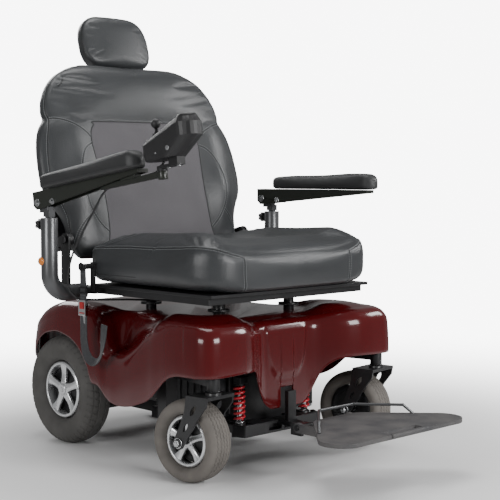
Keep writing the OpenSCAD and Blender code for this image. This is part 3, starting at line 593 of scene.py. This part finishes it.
# ---- wheels ----
def tyre_profile(r, rim_r, half_w):
    """Closed loop of (axial, radius) rows round a tyre, with the crown in the middle rows."""
    mid, h = (r + rim_r) / 2, (r - rim_r) / 2
    out = []
    for k in range(64):
        a = math.radians(360 * k / 64)
        c, s = math.cos(a), math.sin(a)
        out.append((half_w * math.copysign(abs(s) ** 0.70, s), mid + h * math.copysign(abs(c) ** 0.80, c)))
    return out


def fine_crown(profile, r, half_w):
    """Adds rows across the tread so that its grooves keep their edges."""
    crown = [p for p in profile if p[1] > r - 9]
    sides = [p for p in profile if p[1] <= r - 9]
    xs = sorted(p[0] for p in crown)
    pr = sorted((p[0], p[1]) for p in crown)
    fine = []
    for x in np.linspace(xs[0], xs[-1], 66):
        fine.append((x, float(np.interp(x, [p[0] for p in pr], [p[1] for p in pr]))))
    right = sorted([p for p in sides if p[0] > 0], key=lambda p: -p[1])
    left = sorted([p for p in sides if p[0] <= 0], key=lambda p: p[1])
    return fine + right + left


def caster_tread(a, x, rad):
    """Five wavy ribs between zigzag grooves."""
    wave = 1.7 * np.abs(((a * 58 / (2 * math.pi)) % 1) * 2 - 1) - 0.85
    depth = np.zeros(np.broadcast(a, x, rad).shape)
    for g in (-24, -12, 0, 12, 24):
        d = np.abs(x - g - wave * 2)
        depth = np.maximum(depth, 2.4 * np.clip(1 - (d / 1.7) ** 4, 0, 1))
    ring = 0.7 * np.clip(1 - ((rad - 93) / 1.2) ** 2, 0, 1)
    return rad - depth * (rad > 104) + ring


def drive_tread(a, x, rad):
    """Centre ribs, curved cross cuts and shoulder blocks."""
    t = (a * 44 / (2 * math.pi)) % 1
    depth = np.zeros(np.broadcast(a, x, rad).shape)
    for g in (-13, 13):
        wave = 1.6 * np.sin(2 * math.pi * t)
        depth = np.maximum(depth, 3.6 * np.clip(1 - ((x - g - wave) / 1.9) ** 4, 0, 1))
    for g in (-29, 29):
        depth = np.maximum(depth, 3.0 * np.clip(1 - ((x - g) / 1.5) ** 4, 0, 1))
    cut = np.abs(((t + 0.012 * (np.abs(x) - 13)) % 1) - 0.5) * 2
    depth = np.maximum(depth, 3.4 * np.clip((0.26 - cut) / 0.10, 0, 1) * (np.abs(x) > 14))
    fin = np.abs(((a * 132 / (2 * math.pi)) % 1) - 0.5) * 2
    side = 0.5 * np.clip((fin - 0.5) / 0.2, 0, 1) * np.clip((rad - 128) / 3, 0, 1) * (rad < 150)
    return rad - depth * (rad > 147) + side


def spoke_rim(name, centre, turn, side, r, depth, hub_r, body, node, axle_r):
    """Silver five-spoke face and lip over a black dish."""
    lip = [(depth + 2, r - 7), (depth + 4, r - 5), (depth + 4, r - 1), (depth + 1, r + 3), (-6, r + 3),
           (-6, r - 2), (depth - 6, r - 7)]
    lv, lf = revolve(lip, 96, (0, 0, 0), side=1)
    parts = [(lv, lf)]
    for i in range(5):
        a0 = 2 * math.pi * i / 5 + 0.3
        top, low = [], []
        for t in np.linspace(0, 1, 11):
            rr = hub_r - 4 + (r - 4 - hub_r + 4) * t
            w = 0.11 * r + 0.10 * r * t**3 + 0.05 * r * (1 - t) ** 3
            x = depth - 1 - 5 * math.sin(math.pi * t) * 0.6
            top.append((rr, w, x))
        loop = []
        for rr, w, x in top:
            for u, dx in ((-1.0, -9), (-1.0, -1.5), (-0.55, 1.2), (0.55, 1.2), (1.0, -1.5), (1.0, -9)):
                y, z = rr * math.cos(a0) - u * w * math.sin(a0), rr * math.sin(a0) + u * w * math.cos(a0)
                loop.append((x + dx, y, z))
        parts.append((loop, grid_faces(11, 6, close_m=True)
                      + [list(range(6))[::-1], [60 + k for k in range(6)]]))
    hub = [(depth + 1, axle_r + 0.5), (depth + 1, hub_r - 5), (depth - 2, hub_r), (-8, hub_r + 1),
           (-8, axle_r + 0.5)]
    parts.append(revolve(hub, 48, (0, 0, 0)))
    dish = [(depth - 10, axle_r + 1), (depth - 14, hub_r + 2), (depth - 26, r - 24), (depth - 22, r - 9),
            (-depth + 4, r - 5), (-depth, r + 3), (-depth - 3, r + 3), (-depth - 3, r - 7),
            (-depth + 12, r - 12),
            (-depth + 16, axle_r + 1)]
    made = []
    for label, mat, (v, f) in (("face", RIM, merged(parts)), ("dish", DISH, revolve(dish, 96, (0, 0, 0)))):
        v = np.array(v, float)
        v[:, 0] *= side
        c, s = math.cos(turn), math.sin(turn)
        v = np.stack([v[:, 0] * c - v[:, 1] * s, v[:, 0] * s + v[:, 1] * c, v[:, 2]], 1) + np.array(centre)
        f = [list(g)[::-1] for g in f] if side < 0 else f
        o = mesh_object(name + "_" + label, v, f, mat)
        o.data.shade_smooth()
        add_bevel(o, 0.8, 2, 35)
        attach(o, body)
        made.append(o)
    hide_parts(node)
    return made


TURN = math.radians(7)
for label, side in (("right", -1), ("left", 1)):
    dc = (side * 290.0, 457.0, 168.0)
    prof = fine_crown(tyre_profile(168, 88, 46), 168, 46)
    piece(label + "_drive_tread", revolve(prof, 528, dc, side=side, wobble=drive_tread), TYRE,
          label + "_drive_wheel", replaces=[label + "_drive_tyre"])
    spoke_rim(label + "_drive_wheel_rim", dc, 0.0, side, 84, 30, 24, label + "_drive_wheel",
              label + "_drive_rim", 12.1)
    piece(label + "_hub_cap", merged([rod_mesh((side * 322, 457, 168), (side * 325, 457, 168), 19, 36, 16),
          rod_mesh((side * 318, 457, 168), (side * 327, 457, 168), 9, 6)]), RIM, label + "_drive_wheel",
          smooth=False, bevel=0.8)
    piece(label + "_valve", rod_mesh((side * 331, 457 - 108, 186), (side * 341, 457 - 109, 186), 3.6, 16, 2.4),
          STEEL, label + "_drive_wheel")

    cc = (side * 337.0 - 76 * math.sin(TURN), -257 + 76 * math.cos(TURN), 114.5)
    prof = fine_crown(tyre_profile(114.5, 72, 42), 114.5, 42)
    piece(label + "_caster_tread", revolve(prof, 464, cc, axis_turn=TURN, side=side, wobble=caster_tread),
          TYRE_WARM, label + "_caster_wheel", replaces=[label + "_caster_tyre"])
    spoke_rim(label + "_caster_wheel_rim", cc, TURN, side, 68, 24, 18, label + "_caster_wheel",
              label + "_caster_rim", 8.1)
    axis = np.array([math.cos(TURN), math.sin(TURN), 0])
    parts = []
    for e in (-1, 1):
        c = np.array(cc) + axis * e * 57
        parts += [rod_mesh(c, c + axis * e * 3, 14.5, 32), rod_mesh(c + axis * e * 3, c + axis * e * 9, 10, 6),
                  rod_mesh(c + axis * e * 9, c + axis * e * 12, 7, 20, 5)]
    piece(label + "_caster_axle_nuts", merged(parts), STEEL, label + "_caster_fork", smooth=False, bevel=0.7)
    # boot of rings on the stem, between the fork and the housing
    rings = [rod_mesh((side * 337, -257, 251 + 5 * k), (side * 337, -257, 254 + 5 * k), 19.5, 32, 17)
             for k in range(2)]
    piece(label + "_stem_rings", merged(rings), FRAME, label + "_caster_fork", bevel=0.5)
    # coil spring over a damper: the tube's foot rises with the caster arm
    arm = label + "_caster_arm"
    px, py = side * 134.0, -145.0
    turns, coil_r, low, high = 7, 14.0, 131.5, 233.0
    t = np.linspace(0, 1, turns * 20)
    a = 2 * math.pi * turns * t
    coil = np.stack([px + coil_r * np.cos(a), py + coil_r * np.sin(a), low + (high - low) * t], 1)
    v, f = tube_mesh(coil, 3.6, 12)
    spring = mesh_object(label + "_coil", v, f, SPRING)
    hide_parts(label + "_spring")
    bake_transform(spring)
    piece(label + "_damper_tube", merged([rod_mesh((px, py, 128), (px, py, 186), 8.5), rod_mesh((px - 12, py,
          122), (px + 12, py, 122), 9)]), STEEL, arm, bevel=0.8)
    piece(label + "_damper_rod", rod_mesh((px, py, 168), (px, py, 238), 5.0), CHROME, "base")
    piece(label + "_spring_seat", rod_mesh((px, py, 235), (px, py, 240), 18.5, 32, 17), FRAME, "base",
          bevel=0.8)


# ---- seat cushion ----
SEAT_SEAM = [(-332, 286, 612), (-344, 226, 630), (-348, 120, 641), (-348, 0, 644), (-344, -110, 645),
             (-330, -180, 642), (-302, -222, 634), (-262, -246, 622), (-218, -252, 609)]


def seat_height(x, y):
    """Height of the top: side bolsters, a dished middle and a rolled front."""
    ax = abs(x)
    bolster = float(curve_at(y, [(-255, 6), (-190, 20), (-120, 29), (0, 31), (150, 29), (240, 20),
                                 (296, 8)])[0])
    side = math.exp(-((ax - 282) / 62) ** 2) if ax < 282 else math.exp(-((ax - 282) / 70) ** 2)
    mid = float(curve_at(y, [(-255, 634), (-215, 645), (-170, 648), (-100, 642), (0, 636), (150, 634),
                             (260, 634), (296, 626)])[0])
    return mid + bolster * side


def seat_rows():
    rows = []
    ys = [-255, -253.5, -249, -242, -232, -218, -200, -180, -155, -125, -90, -50, 0, 50, 100, 150, 190, 225,
          250, 268, 281, 290, 294.5, 296]
    for y in ys:
        t = max(0.0, (-150 - y) / 105)
        front = math.sqrt(max(0.0, 1 - t * t))
        w = 234 + 105 * front if t > 0 else 339
        w = min(w, 300 + 39 * math.sqrt(max(0, 1 - max(0, (y - 250) / 46) ** 2)))
        edge = min(1, (y + 255) / 44) if y < -211 else min(1, (296 - y) / 36)
        roll = math.sqrt(max(0, 1 - (1 - edge) ** 2))
        loop = []
        for k in range(72):
            a = 2 * math.pi * k / 72
            c, s = math.cos(a), math.sin(a)
            x = w * math.copysign(abs(c) ** 0.32, c)
            top = 592 + (seat_height(x, y) - 592) * roll if s > 0 else 0
            z = (592 + (top - 592) * abs(s) ** 0.50 if s > 0
                 else 592 - (592 - (508 + 14 * (1 - roll))) * abs(s) ** 0.34)
            bulge = 6 * math.cos(math.pi * (z - 576) / 150) if abs(c) > 0.7 else 0
            loop.append((x + math.copysign(bulge, x), y, z))
        rows.append(loop)
    return rows


def seg_distance(p, path):
    """Distance of each point to a polyline."""
    best = np.full(len(p), 1e9)
    for a, b in zip(path[:-1], path[1:]):
        d = b - a
        t = np.clip(((p - a) @ d) / (d @ d + 1e-9), 0, 1)
        best = np.minimum(best, np.linalg.norm(p - (a + t[:, None] * d), axis=1))
    return best


def both_sides(path):
    p = np.array(path, float)
    return [p, p * np.array([-1, 1, 1])]


v, f = loft(seat_rows())
seat = mesh_object("seat_cushion_cover", v, f, LEATHER)
seat_seams = [smooth_path(p, 6) for p in both_sides(SEAT_SEAM)]
seat_seams += [smooth_path(p, 6) for p in both_sides([(-218, -252, 609), (-217, -256, 590), (-217, -256, 560),
                                                       (-214, -252, 530), (-210, -243, 514)])]


def seat_held(p):
    hold = np.clip((526 - p[:, 2]) / 10, 0, 1)
    for s in seat_seams:
        hold = np.maximum(hold, np.clip(1.5 - seg_distance(p, s) / 7, 0, 1))
    return hold


puff(seat, 6.5, 4.0, 9, seat_held)
seat_tree = upholster(seat, "seat_cushion", "base")
seam_list, stitch_list = [], []
for path in seat_seams:
    pts, normals = near_surface(seat_tree, resample(path, 5))
    seam_list.append(seam_parts(pts, normals, 1.6))
    stitch_list += stitch_parts(pts, normals, 4.2) + stitch_parts(pts, normals, -4.2)
lower = [(-346, y, 540) for y in range(250, 60, -8)]
pts, normals = near_surface(seat_tree, np.array(lower, float))
seam_list.append(seam_parts(pts, normals, 1.2))
piece("seat_seams", merged(seam_list), SEAM, "base")
piece("seat_stitching", merged(stitch_list), THREAD, "base", smooth=False)


# ---- back cushion, drawn upright about the recline hinge and leant back ----
LEAN = math.radians(16)
HINGE = np.array([0, 365.0, 640.0])


def leant(p):
    p = np.atleast_2d(np.array(p, float))
    c, s = math.cos(LEAN), math.sin(LEAN)
    return np.stack([p[:, 0], p[:, 1] * c + p[:, 2] * s, -p[:, 1] * s + p[:, 2] * c], 1) + HINGE


def upright(p):
    q = np.atleast_2d(np.array(p, float)) - HINGE
    c, s = math.cos(LEAN), math.sin(LEAN)
    return np.stack([q[:, 0], q[:, 1] * c - q[:, 2] * s, q[:, 1] * s + q[:, 2] * c], 1)


BACK_WIDTH = [(-58, 312), (-30, 330), (0, 338), (60, 348), (95, 366), (125, 388), (155, 400), (200, 406),
              (254, 404), (300, 398), (335, 389), (365, 374), (388, 356), (402, 361), (430, 358),
              (470, 342), (505, 318), (530, 290), (550, 258), (562, 236), (570, 214)]
BACK_TOP = 574
PANEL = [(-222, -20), (-212, 20), (-209, 99), (-211, 178), (-217, 254), (-221, 300), (-216, 338), (-200, 360),
         (-176, 371), (176, 371), (200, 360), (216, 338), (221, 300), (217, 254), (211, 178), (209, 99),
         (212, 20),
         (222, -20)]


def back_front(x, z):
    """How far the front stands forward of the flat line: a dished middle, lumbar wings and a full shoulder."""
    ax = abs(x)
    lumbar = math.exp(-((z - 150) / 135) ** 2)
    wing = math.exp(-((ax - 292) / 62) ** 2) * 34 * lumbar
    low = math.exp(-((z - 60) / 90) ** 2) * 7 * math.exp(-(x / 200) ** 2)
    shoulder = 9 * math.exp(-((z - 455) / 85) ** 2) * math.exp(-(ax / 260) ** 4)
    upper_wing = 12 * math.exp(-((ax - 300) / 60) ** 2) * math.exp(-((z - 330) / 70) ** 2)
    return wing + low + shoulder + upper_wing


def back_rows():
    rows = []
    zs = [-58, -57, -54, -49, -41, -30] + list(range(-15, 540, 13)) + [546, 556, 563, 568, 572, 573.6, BACK_TOP]
    for z in zs:
        w = float(curve_at(z, BACK_WIDTH)[0])
        end = min(1.0, (z + 58) / 30) if z < 0 else min(1.0, (BACK_TOP - z) / 42)
        roll = math.sqrt(max(0.0, 1 - (1 - end) ** 2))
        half_t = 40 * max(roll, 0.10)
        if z > 530:
            w = w * (0.86 + 0.14 * roll)
        loop = []
        for k in range(88):
            a = 2 * math.pi * k / 88
            c, s = math.cos(a), math.sin(a)
            x = w * math.copysign(abs(c) ** 0.52, c)
            depth = half_t * abs(s) ** 0.62
            if s < 0:
                y = 22 - depth - back_front(x, z) * roll * abs(s) ** 0.8
            else:
                y = 22 + depth * 0.95
            loop.append((x, y, z))
        rows.append(loop)
    return rows


v, f = loft(back_rows())
back = mesh_object("back_cushion_cover", leant(v), f, LEATHER)
BACK_SEAMS = {
    "panel": PANEL,
    "shoulder": [(-352, 381), (-334, 380), (-302, 370), (-270, 356), (-240, 338), (-219, 318)],
    "lumbar": [(-218, 301), (-245, 288), (-268, 262), (-284, 225), (-292, 180), (-290, 135), (-278, 92),
               (-250, 48), (-212, 14)],
    "lower": [(-272, 78), (-300, 50), (-322, 18), (-334, -20)],
    "side": [(-296, 532), (-312, 516), (-334, 478), (-350, 440), (-356, 408), (-352, 381), (-362, 350),
             (-374, 305), (-382, 250), (-384, 199), (-378, 150), (-362, 112), (-345, 70), (-338, 20),
             (-330, -30)],
}


def seam_paths():
    out = []
    for name, pts in BACK_SEAMS.items():
        for mirror in ((1,) if name == "panel" else (1, -1)):
            p = smooth_path([(x * mirror, z) for x, z in pts], 6)
            out.append((name, p))
    return out


back_seams = seam_paths()


def back_held(p):
    q = upright(p)
    hold = np.clip((q[:, 1] - 46) / 10, 0, 1)
    flat = np.stack([q[:, 0], q[:, 2]], 1)
    front = np.clip((30 - q[:, 1]) / 8, 0, 1)
    for name, s in back_seams:
        reach = 9 if name == "side" else 7
        hold = np.maximum(hold, np.clip(1.5 - seg_distance(flat, s) / reach, 0, 1) * front)
    return hold


puff(back, 6.5, 4.0, 11, back_held)


def inside_poly(x, z, poly):
    p = np.array(poly, float)
    inside = np.zeros(len(x), bool)
    for (x1, z1), (x2, z2) in zip(p, np.roll(p, -1, 0)):
        hit = ((z1 > z) != (z2 > z)) & (x < (x2 - x1) * (z - z1) / (z2 - z1 + 1e-12) + x1)
        inside ^= hit
    return inside


back.data.materials.append(FABRIC)
centres = np.zeros(len(back.data.polygons) * 3)
back.data.polygons.foreach_get("center", centres)
q = upright(centres.reshape(-1, 3) * 1000)
fabric = inside_poly(q[:, 0], q[:, 2], smooth_path(PANEL, 5)) & (q[:, 1] < 20)
back.data.polygons.foreach_set("material_index", fabric.astype(np.int32))
back_tree = upholster(back, "back_cushion", "back")
forward = leant([(0, 1, 0)])[0] - HINGE
seam_list, stitch_list = [], []
for name, s in back_seams:
    start = leant(np.stack([s[:, 0], np.full(len(s), -100.0), s[:, 1]], 1))
    pts, normals = onto(back_tree, start, forward, 60)
    if name == "side":
        keep = (np.abs(np.gradient(np.linalg.norm(pts - start, axis=1))) < 8) & (normals @ forward < -0.15)
        pts, normals = pts[keep], normals[keep]
    seam_list.append(seam_parts(pts, normals, 1.9 if name in ("panel", "side") else 1.5))
    if name in ("lumbar", "shoulder", "lower"):
        stitch_list += stitch_parts(pts, normals, 4.0) + stitch_parts(pts, normals, -4.0)
    elif name == "side":
        stitch_list += stitch_parts(pts, normals, 4.2)
piece("back_seams", merged(seam_list), SEAM, "back")
piece("back_stitching", merged(stitch_list), THREAD, "back", smooth=False)


# ---- headrest ----
def headrest_rows():
    rows = []
    zs = [578, 580, 584, 590, 598, 608, 620, 634, 648, 662, 676, 690, 704, 716, 727, 737, 745, 751, 755, 757.5,
          758.5]
    for z in zs:
        w = float(curve_at(z, [(578, 92), (584, 104), (595, 118), (612, 131), (640, 138), (670, 138),
                               (700, 133), (722, 123), (740, 106), (752, 86), (758.5, 66)])[0])
        end = min(1.0, (z - 578) / 22) if z < 660 else min(1.0, (758.5 - z) / 30)
        roll = math.sqrt(max(0.0, 1 - (1 - end) ** 2))
        loop = []
        for k in range(56):
            a = 2 * math.pi * k / 56
            c, s = math.cos(a), math.sin(a)
            x = w * math.copysign(abs(c) ** 0.55, c)
            t = (33 if s < 0 else 36) * max(roll, 0.12) * abs(s) ** 0.65
            y = 55 + (t if s > 0 else -t)
            loop.append((x, y, z))
        rows.append(loop)
    return rows


v, f = loft(headrest_rows())
head = mesh_object("headrest_cover", leant(v), f, LEATHER)
head_seam = [(-104, 588), (-124, 604), (-134, 628), (-137, 660), (-134, 690), (-126, 714), (-112, 734),
             (-92, 748)]
head_paths = [smooth_path([(x * m, z) for x, z in head_seam], 6) for m in (1, -1)]


def head_held(p):
    q = upright(p)
    flat = np.stack([q[:, 0], q[:, 2]], 1)
    hold = np.zeros(len(p))
    for s in head_paths:
        hold = np.maximum(hold, np.clip(1.4 - seg_distance(flat, s) / 7, 0, 1) * (q[:, 1] < 58))
    return hold


puff(head, 5.5, 4.0, 9, head_held)
head_tree = upholster(head, "headrest", "headrest_unit")
seam_list, stitch_list = [], []
for s in head_paths:
    start = leant(np.stack([s[:, 0], np.full(len(s), -60.0), s[:, 1]], 1))
    pts, normals = onto(head_tree, start, forward, 30)
    seam_list.append(seam_parts(pts, normals, 1.7))
    stitch_list += stitch_parts(pts, normals, 4.2)
piece("headrest_seams", merged(seam_list), SEAM, "headrest_unit")
piece("headrest_stitching", merged(stitch_list), SEAM, "headrest_unit", smooth=False)


# ---- arm pads ----
FLIP = np.array([0, 349.0, 753.0])


def arm_space(p, side):
    """From a level armrest on +X to where it is set on its side."""
    p = np.atleast_2d(np.array(p, float)).copy()
    p[:, 0] *= side
    if side < 0:
        a = math.radians(-8)
        q = p - FLIP
        c, s = math.cos(a), math.sin(a)
        p = np.stack([q[:, 0], q[:, 1] * c - q[:, 2] * s, q[:, 1] * s + q[:, 2] * c], 1) + FLIP
    return p


def pad_rows():
    rows = []
    for y in [-138, -137, -134, -129, -121, -110, -96, -75] + list(range(-50, 285, 25)) + [290, 300, 307, 311,
                                                                                           312]:
        t = max(0.0, (-102 - y) / 36, (y - 284) / 28)
        w = 35 * math.sqrt(max(0.02, 1 - min(1, t) ** 2)) - 3
        crown = 828 + 10 * math.exp(-((y + 100) / 130) ** 2)
        loop = []
        for k in range(48):
            a = 2 * math.pi * k / 48
            c, s = math.cos(a), math.sin(a)
            x = 474 + w * math.copysign(abs(c) ** 0.5, c)
            roll = math.sqrt(max(0.04, 1 - min(1, t) ** 2))
            z = (806 + (crown - 806) * abs(s) ** 0.55 * roll if s > 0
                 else 806 - 19.5 * abs(s) ** 0.3 * (0.7 + 0.3 * roll))
            loop.append((x, y, z))
        rows.append(loop)
    return rows


for label, side in (("right", -1), ("left", 1)):
    v, f = loft(pad_rows())
    f = [list(g)[::-1] for g in f] if side < 0 else f
    pad = mesh_object(label + "_arm_pad_cover", arm_space(v, side), f, PAD)

    def pad_held(p, side=side):
        q = p - FLIP
        a = math.radians(8 if side < 0 else 0)
        z = q[:, 1] * math.sin(a) + q[:, 2] * math.cos(a)
        return np.clip((45 - z) / 6, 0, 1)

    puff(pad, 4.5, 3.0, 4, pad_held)
    pad_tree = upholster(pad, label + "_arm_pad", label + "_armrest")
    loop = []
    for y in np.linspace(-120, 298, 60):
        loop.append((474 + 60, y, 797.0))
    pts, normals = near_surface(pad_tree, arm_space(loop, side))
    piece(label + "_arm_pad_seam", seam_parts(pts, normals, 1.0), SEAM, label + "_armrest")
    # hinge bolts and washers on the bracket
    parts = []
    for y, z, r in ((349, 753, 8), (274, 748, 6)):
        for e in (-1, 1):
            c = arm_space([(461 + e * 18, y, z), (461 + e * 20, y, z), (461 + e * 26, y, z)], side)
            parts += [rod_mesh(c[0], c[1], r + 3.5, 28), rod_mesh(c[1], c[2], r, 6)]
    piece(label + "_arm_bolts", merged(parts), STEEL, label + "_armrest", smooth=False, bevel=0.8)
    # reflector on the outside of the tube
    piece(label + "_reflector", merged([rod_mesh((side * 484, 323, 583), (side * 488, 323, 583), 12.5, 32),
          rod_mesh((side * 488, 323, 583), (side * 491.5, 323, 583), 11, 32, 9.5)]), AMBER, "base", bevel=0.6)


# ---- joystick, in the right armrest's own frame ----
def turned(profile, centre, n=40, tilt=0.0):
    """Turns (radius, z) rows about a vertical line, then sets the result with the right armrest."""
    pr = np.array(profile, float)
    v = []
    for k in range(n):
        a = 2 * math.pi * k / n
        for r, z in pr:
            y = r * math.sin(a)
            c, s = math.cos(tilt), math.sin(tilt)
            v.append((centre[0] + r * math.cos(a), centre[1] + y * c - z * s, centre[2] + y * s + z * c))
    return arm_space(np.array(v), -1), grid_faces(n, len(pr), close_n=True)


STICK = (461, -196, 838)
prof = [(20, 8.5)]
for r, z in ((19, 11), (17, 15), (14.8, 19), (12.5, 23), (10.5, 27)):
    prof += [(r, z), (r + 1.2, z + 1.2), (r + 0.6, z + 2.4), (r - 1.8, z + 3)]
prof += [(7.5, 32), (6.5, 35), (5, 36)]
boot = turned(prof, STICK, 40)
ball = [(max(0.01, 13 * math.sin(math.radians(a))), 56 - 13 * math.cos(math.radians(a)))
        for a in range(18, 181, 9)]
piece("joystick_ball_and_boot", merged([boot, turned([(4, -6), (4.2, 30), (4.4, 44.5)] + ball, STICK, 36)]),
      PLASTIC, "joystick_lever", replaces=["joystick_stick"])
piece("joystick_boot_ring", turned([(24.5, 9), (24.5, 11.2), (26, 12.2), (29.5, 12.2), (31, 10.5), (31, 6),
      (24.5, 6), (24.5, 9)], STICK, 48, math.radians(3)), FRAME, "joystick")
head = (461, -320, 889)
ring = [(16, -2), (16, 6.5), (17.5, 8.5), (23.5, 8.5), (26.5, 5.5), (28, 0), (28, -4)]
dome = [(15.8, 1), (12, 2.8), (7, 4), (0.1, 4.4)]
piece("joystick_speed_ring", turned(ring, head, 48), FRAME, "joystick")
piece("joystick_speed_dial", turned(dome, head, 48), LED, "joystick")
parts = []
for e in (-1, 1):
    for y, z, r in ((-274, 818, 35.6), (-226, 812, 34.6)):
        c = arm_space([(461 + e * (r - 2), y, z), (461 + e * (r + 1.5), y, z), (461 + e * (r + 2.5), y, z)], -1)
        parts += [rod_mesh(c[0], c[1], 6.5, 28), rod_mesh(c[1], c[2], 4, 6)]
for y, z in ((-272, 780.5), (-232, 780.5)):
    c = arm_space([(461, y, z - 10), (461, y, z - 3)], -1)
    parts.append(rod_mesh(c[0], c[1], 6, 6))
piece("joystick_bolts", merged(parts), STEEL, "joystick", smooth=False, bevel=0.6)


# ---- control lead ----
LEAD = smooth_path([(-447, -187, 868.5), (-445, -171, 854), (-441, -143, 841), (-438.5, -83, 830),
                    (-438.5, -14, 818), (-438.5, 54, 802), (-440, 88, 780), (-438, 115, 752), (-435, 145, 722),
                    (-431, 180, 688), (-428, 215, 650), (-427, 245, 612), (-427, 265, 572), (-426, 275,
                                                                                             540)], 4)
cut = int(np.argmin(np.abs(LEAD[:, 1] - 180)))
for name, path, pair in (("control_lead_upper", LEAD[:cut + 1], ("right_armrest", "right_arm_post")),
                         ("control_lead_lower", LEAD[cut:], ("right_arm_post", "base"))):
    v, f = tube_mesh(path, 3.2, 14)
    o = mesh_object(name, v, f, CABLE)
    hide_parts("joystick_cable")
    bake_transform(o)


# ---- seat belt: the right half hangs from its anchor in a loop ----
BELT = smooth_path([(0, 251, 574), (0.5, 251, 540), (1, 250, 500), (0, 249, 455), (-1, 247, 420),
                    (-2, 246, 380), (-3, 243, 345), (-3, 233, 312), (-1, 215, 292), (2, 194, 290),
                    (5, 177, 306), (6, 168, 335), (6, 162, 368), (5, 156, 402)], 5)
v = []
for i, (x, y, z) in enumerate(BELT):
    t = i / (len(BELT) - 1)
    d = BELT[min(i + 1, len(BELT) - 1)] - BELT[max(i - 1, 0)]
    d /= np.linalg.norm(d)
    twist = math.radians(8 * math.sin(5 * t) + 42 * math.exp(-((t - 0.72) / 0.16) ** 2))
    side_dir = np.cross(d, [1.0, 0, 0])
    across = math.cos(twist) * side_dir + math.sin(twist) * np.array([1.0, 0, 0])
    face = np.cross(across, d)
    c = np.array([-390.2 + x, y, z])
    for u, h in ((-1, 0.9), (-0.94, 1.35), (-0.86, 1.0), (-0.4, 0.95), (0.4, 0.95), (0.86, 1.0), (0.94, 1.35),
                 (1, 0.9), (1, -0.9), (0.94, -1.35), (0.86, -1.0), (0.4, -0.95), (-0.4, -0.95),
                 (-0.86, -1.0), (-0.94, -1.35), (-1, -0.9)):
        v.append(c + across * 13 * u + face * h)
n = len(BELT)
f = grid_faces(n, 16, close_m=True) + [list(range(16))[::-1], [(n - 1) * 16 + k for k in range(16)]]
belt = mesh_object("belt_strap", v, f, WEBBING)
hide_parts("seat_belt")
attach(belt, "base")
piece("belt_anchor", merged([rod_mesh((-396, 250, 566), (-352, 250, 566), 8.5, 32), rod_mesh((-398.5, 250, 566),
      (-396, 250, 566), 13, 36), rod_mesh((-402, 250, 566), (-398.5, 250, 566), 8, 6), box_mesh((-354, 250,
      531), (6, 20, 94)), box_mesh((-335.6, 250, 487), (42.8, 20, 6)), box_mesh((-392.6, 250, 505), (3, 32, 5)),
      box_mesh((-392.6, 250, 489), (3, 32, 5)), box_mesh((-391.5, 265, 497), (6.5, 4, 21)), box_mesh((-391.5,
      235, 497), (6.5, 4, 21))]), FRAME, "base", smooth=False, bevel=0.9)
piece("belt_button", merged([box_mesh((-397, 250, 452), (1.6, 18, 20)), box_mesh((-396.6, 250, 430), (1.6, 22,
      3))]), LEVER, "base", smooth=False, bevel=0.5)
parts = []
for zz in (553, 545, 482, 474):
    for y in np.arange(241, 261, 3.2):
        parts.append(box_mesh((-392.1, y, zz), (0.8, 2.0, 0.9)))
piece("belt_stitching", merged(parts), THREAD, "base", smooth=False)


# ---- floor, light and world ----
v, f = [(-60000, -60000, 0), (60000, -60000, 0), (60000, 60000, 0), (-60000, 60000, 0)], [(0, 1, 2, 3)]
floor = mesh_object("floor", v, f, FLOOR, smooth=False)


def surround(tree):
    """How bright the white surround is: one level to the camera and a lower one as light."""
    seen = shader_node(tree, "LightPath").outputs["Is Camera Ray"]
    return shader_node(tree, "MapRange", {"To Min": SKY_LIGHT, "To Max": SKY_SEEN},
                       {"Value": seen}).outputs["Result"]


# the floor fades into the surround a few metres out
ft = FLOOR.node_tree
reach = shader_node(ft, "VectorMath", {}, {0: shader_node(ft, "TexCoord").outputs["Object"]})
reach.operation = "LENGTH"
fade = shader_node(ft, "MapRange", {"From Min": 0.5, "From Max": 3.2}, {"Value": reach.outputs["Value"]})
fade.interpolation_type = "SMOOTHERSTEP"
glow = shader_node(ft, "Emission", {}, {"Strength": surround(ft)})
mix = shader_node(ft, "MixShader", {},
                  {"Fac": fade.outputs["Result"], 1: ft.nodes["Principled BSDF"].outputs["BSDF"],
                                        2: glow.outputs["Emission"]})
ft.links.new(mix.outputs["Shader"], ft.nodes["Material Output"].inputs["Surface"])
world = bpy.data.worlds.new("studio")
world.use_nodes = True
sky = world.node_tree.nodes["Background"]
sky.inputs["Color"].default_value = (1.0, 1.0, 1.0, 1)
world.node_tree.links.new(surround(world.node_tree), sky.inputs["Strength"])
bpy.context.scene.world = world


def lamp(name, location, target, size, power, height=None):
    data = bpy.data.lights.new(name, "AREA")
    data.energy, data.size = power, size
    if height:
        data.shape, data.size_y = "RECTANGLE", height
    o = bpy.data.objects.new(name, data)
    o.location = location
    o.rotation_euler = (Vector(target) - Vector(location)).to_track_quat("-Z", "Y").to_euler()
    bpy.context.scene.collection.objects.link(o)


lamp("key", (0.5, -3.7, 1.5), (0, 0, 0.6), 1.3, 100)
lamp("top", (0.1, 0.2, 3.4), (0, 0, 0.4), 1.6, 42)
lamp("side", (-3.5, -0.5, 1.3), (0, 0, 0.6), 1.1, 42)
lamp("far", (2.9, -1.2, 2.2), (0, 0, 0.5), 0.9, 40)
lamp("behind", (0.4, 3.2, 2.4), (0, 0, 0.6), 1.4, 35)
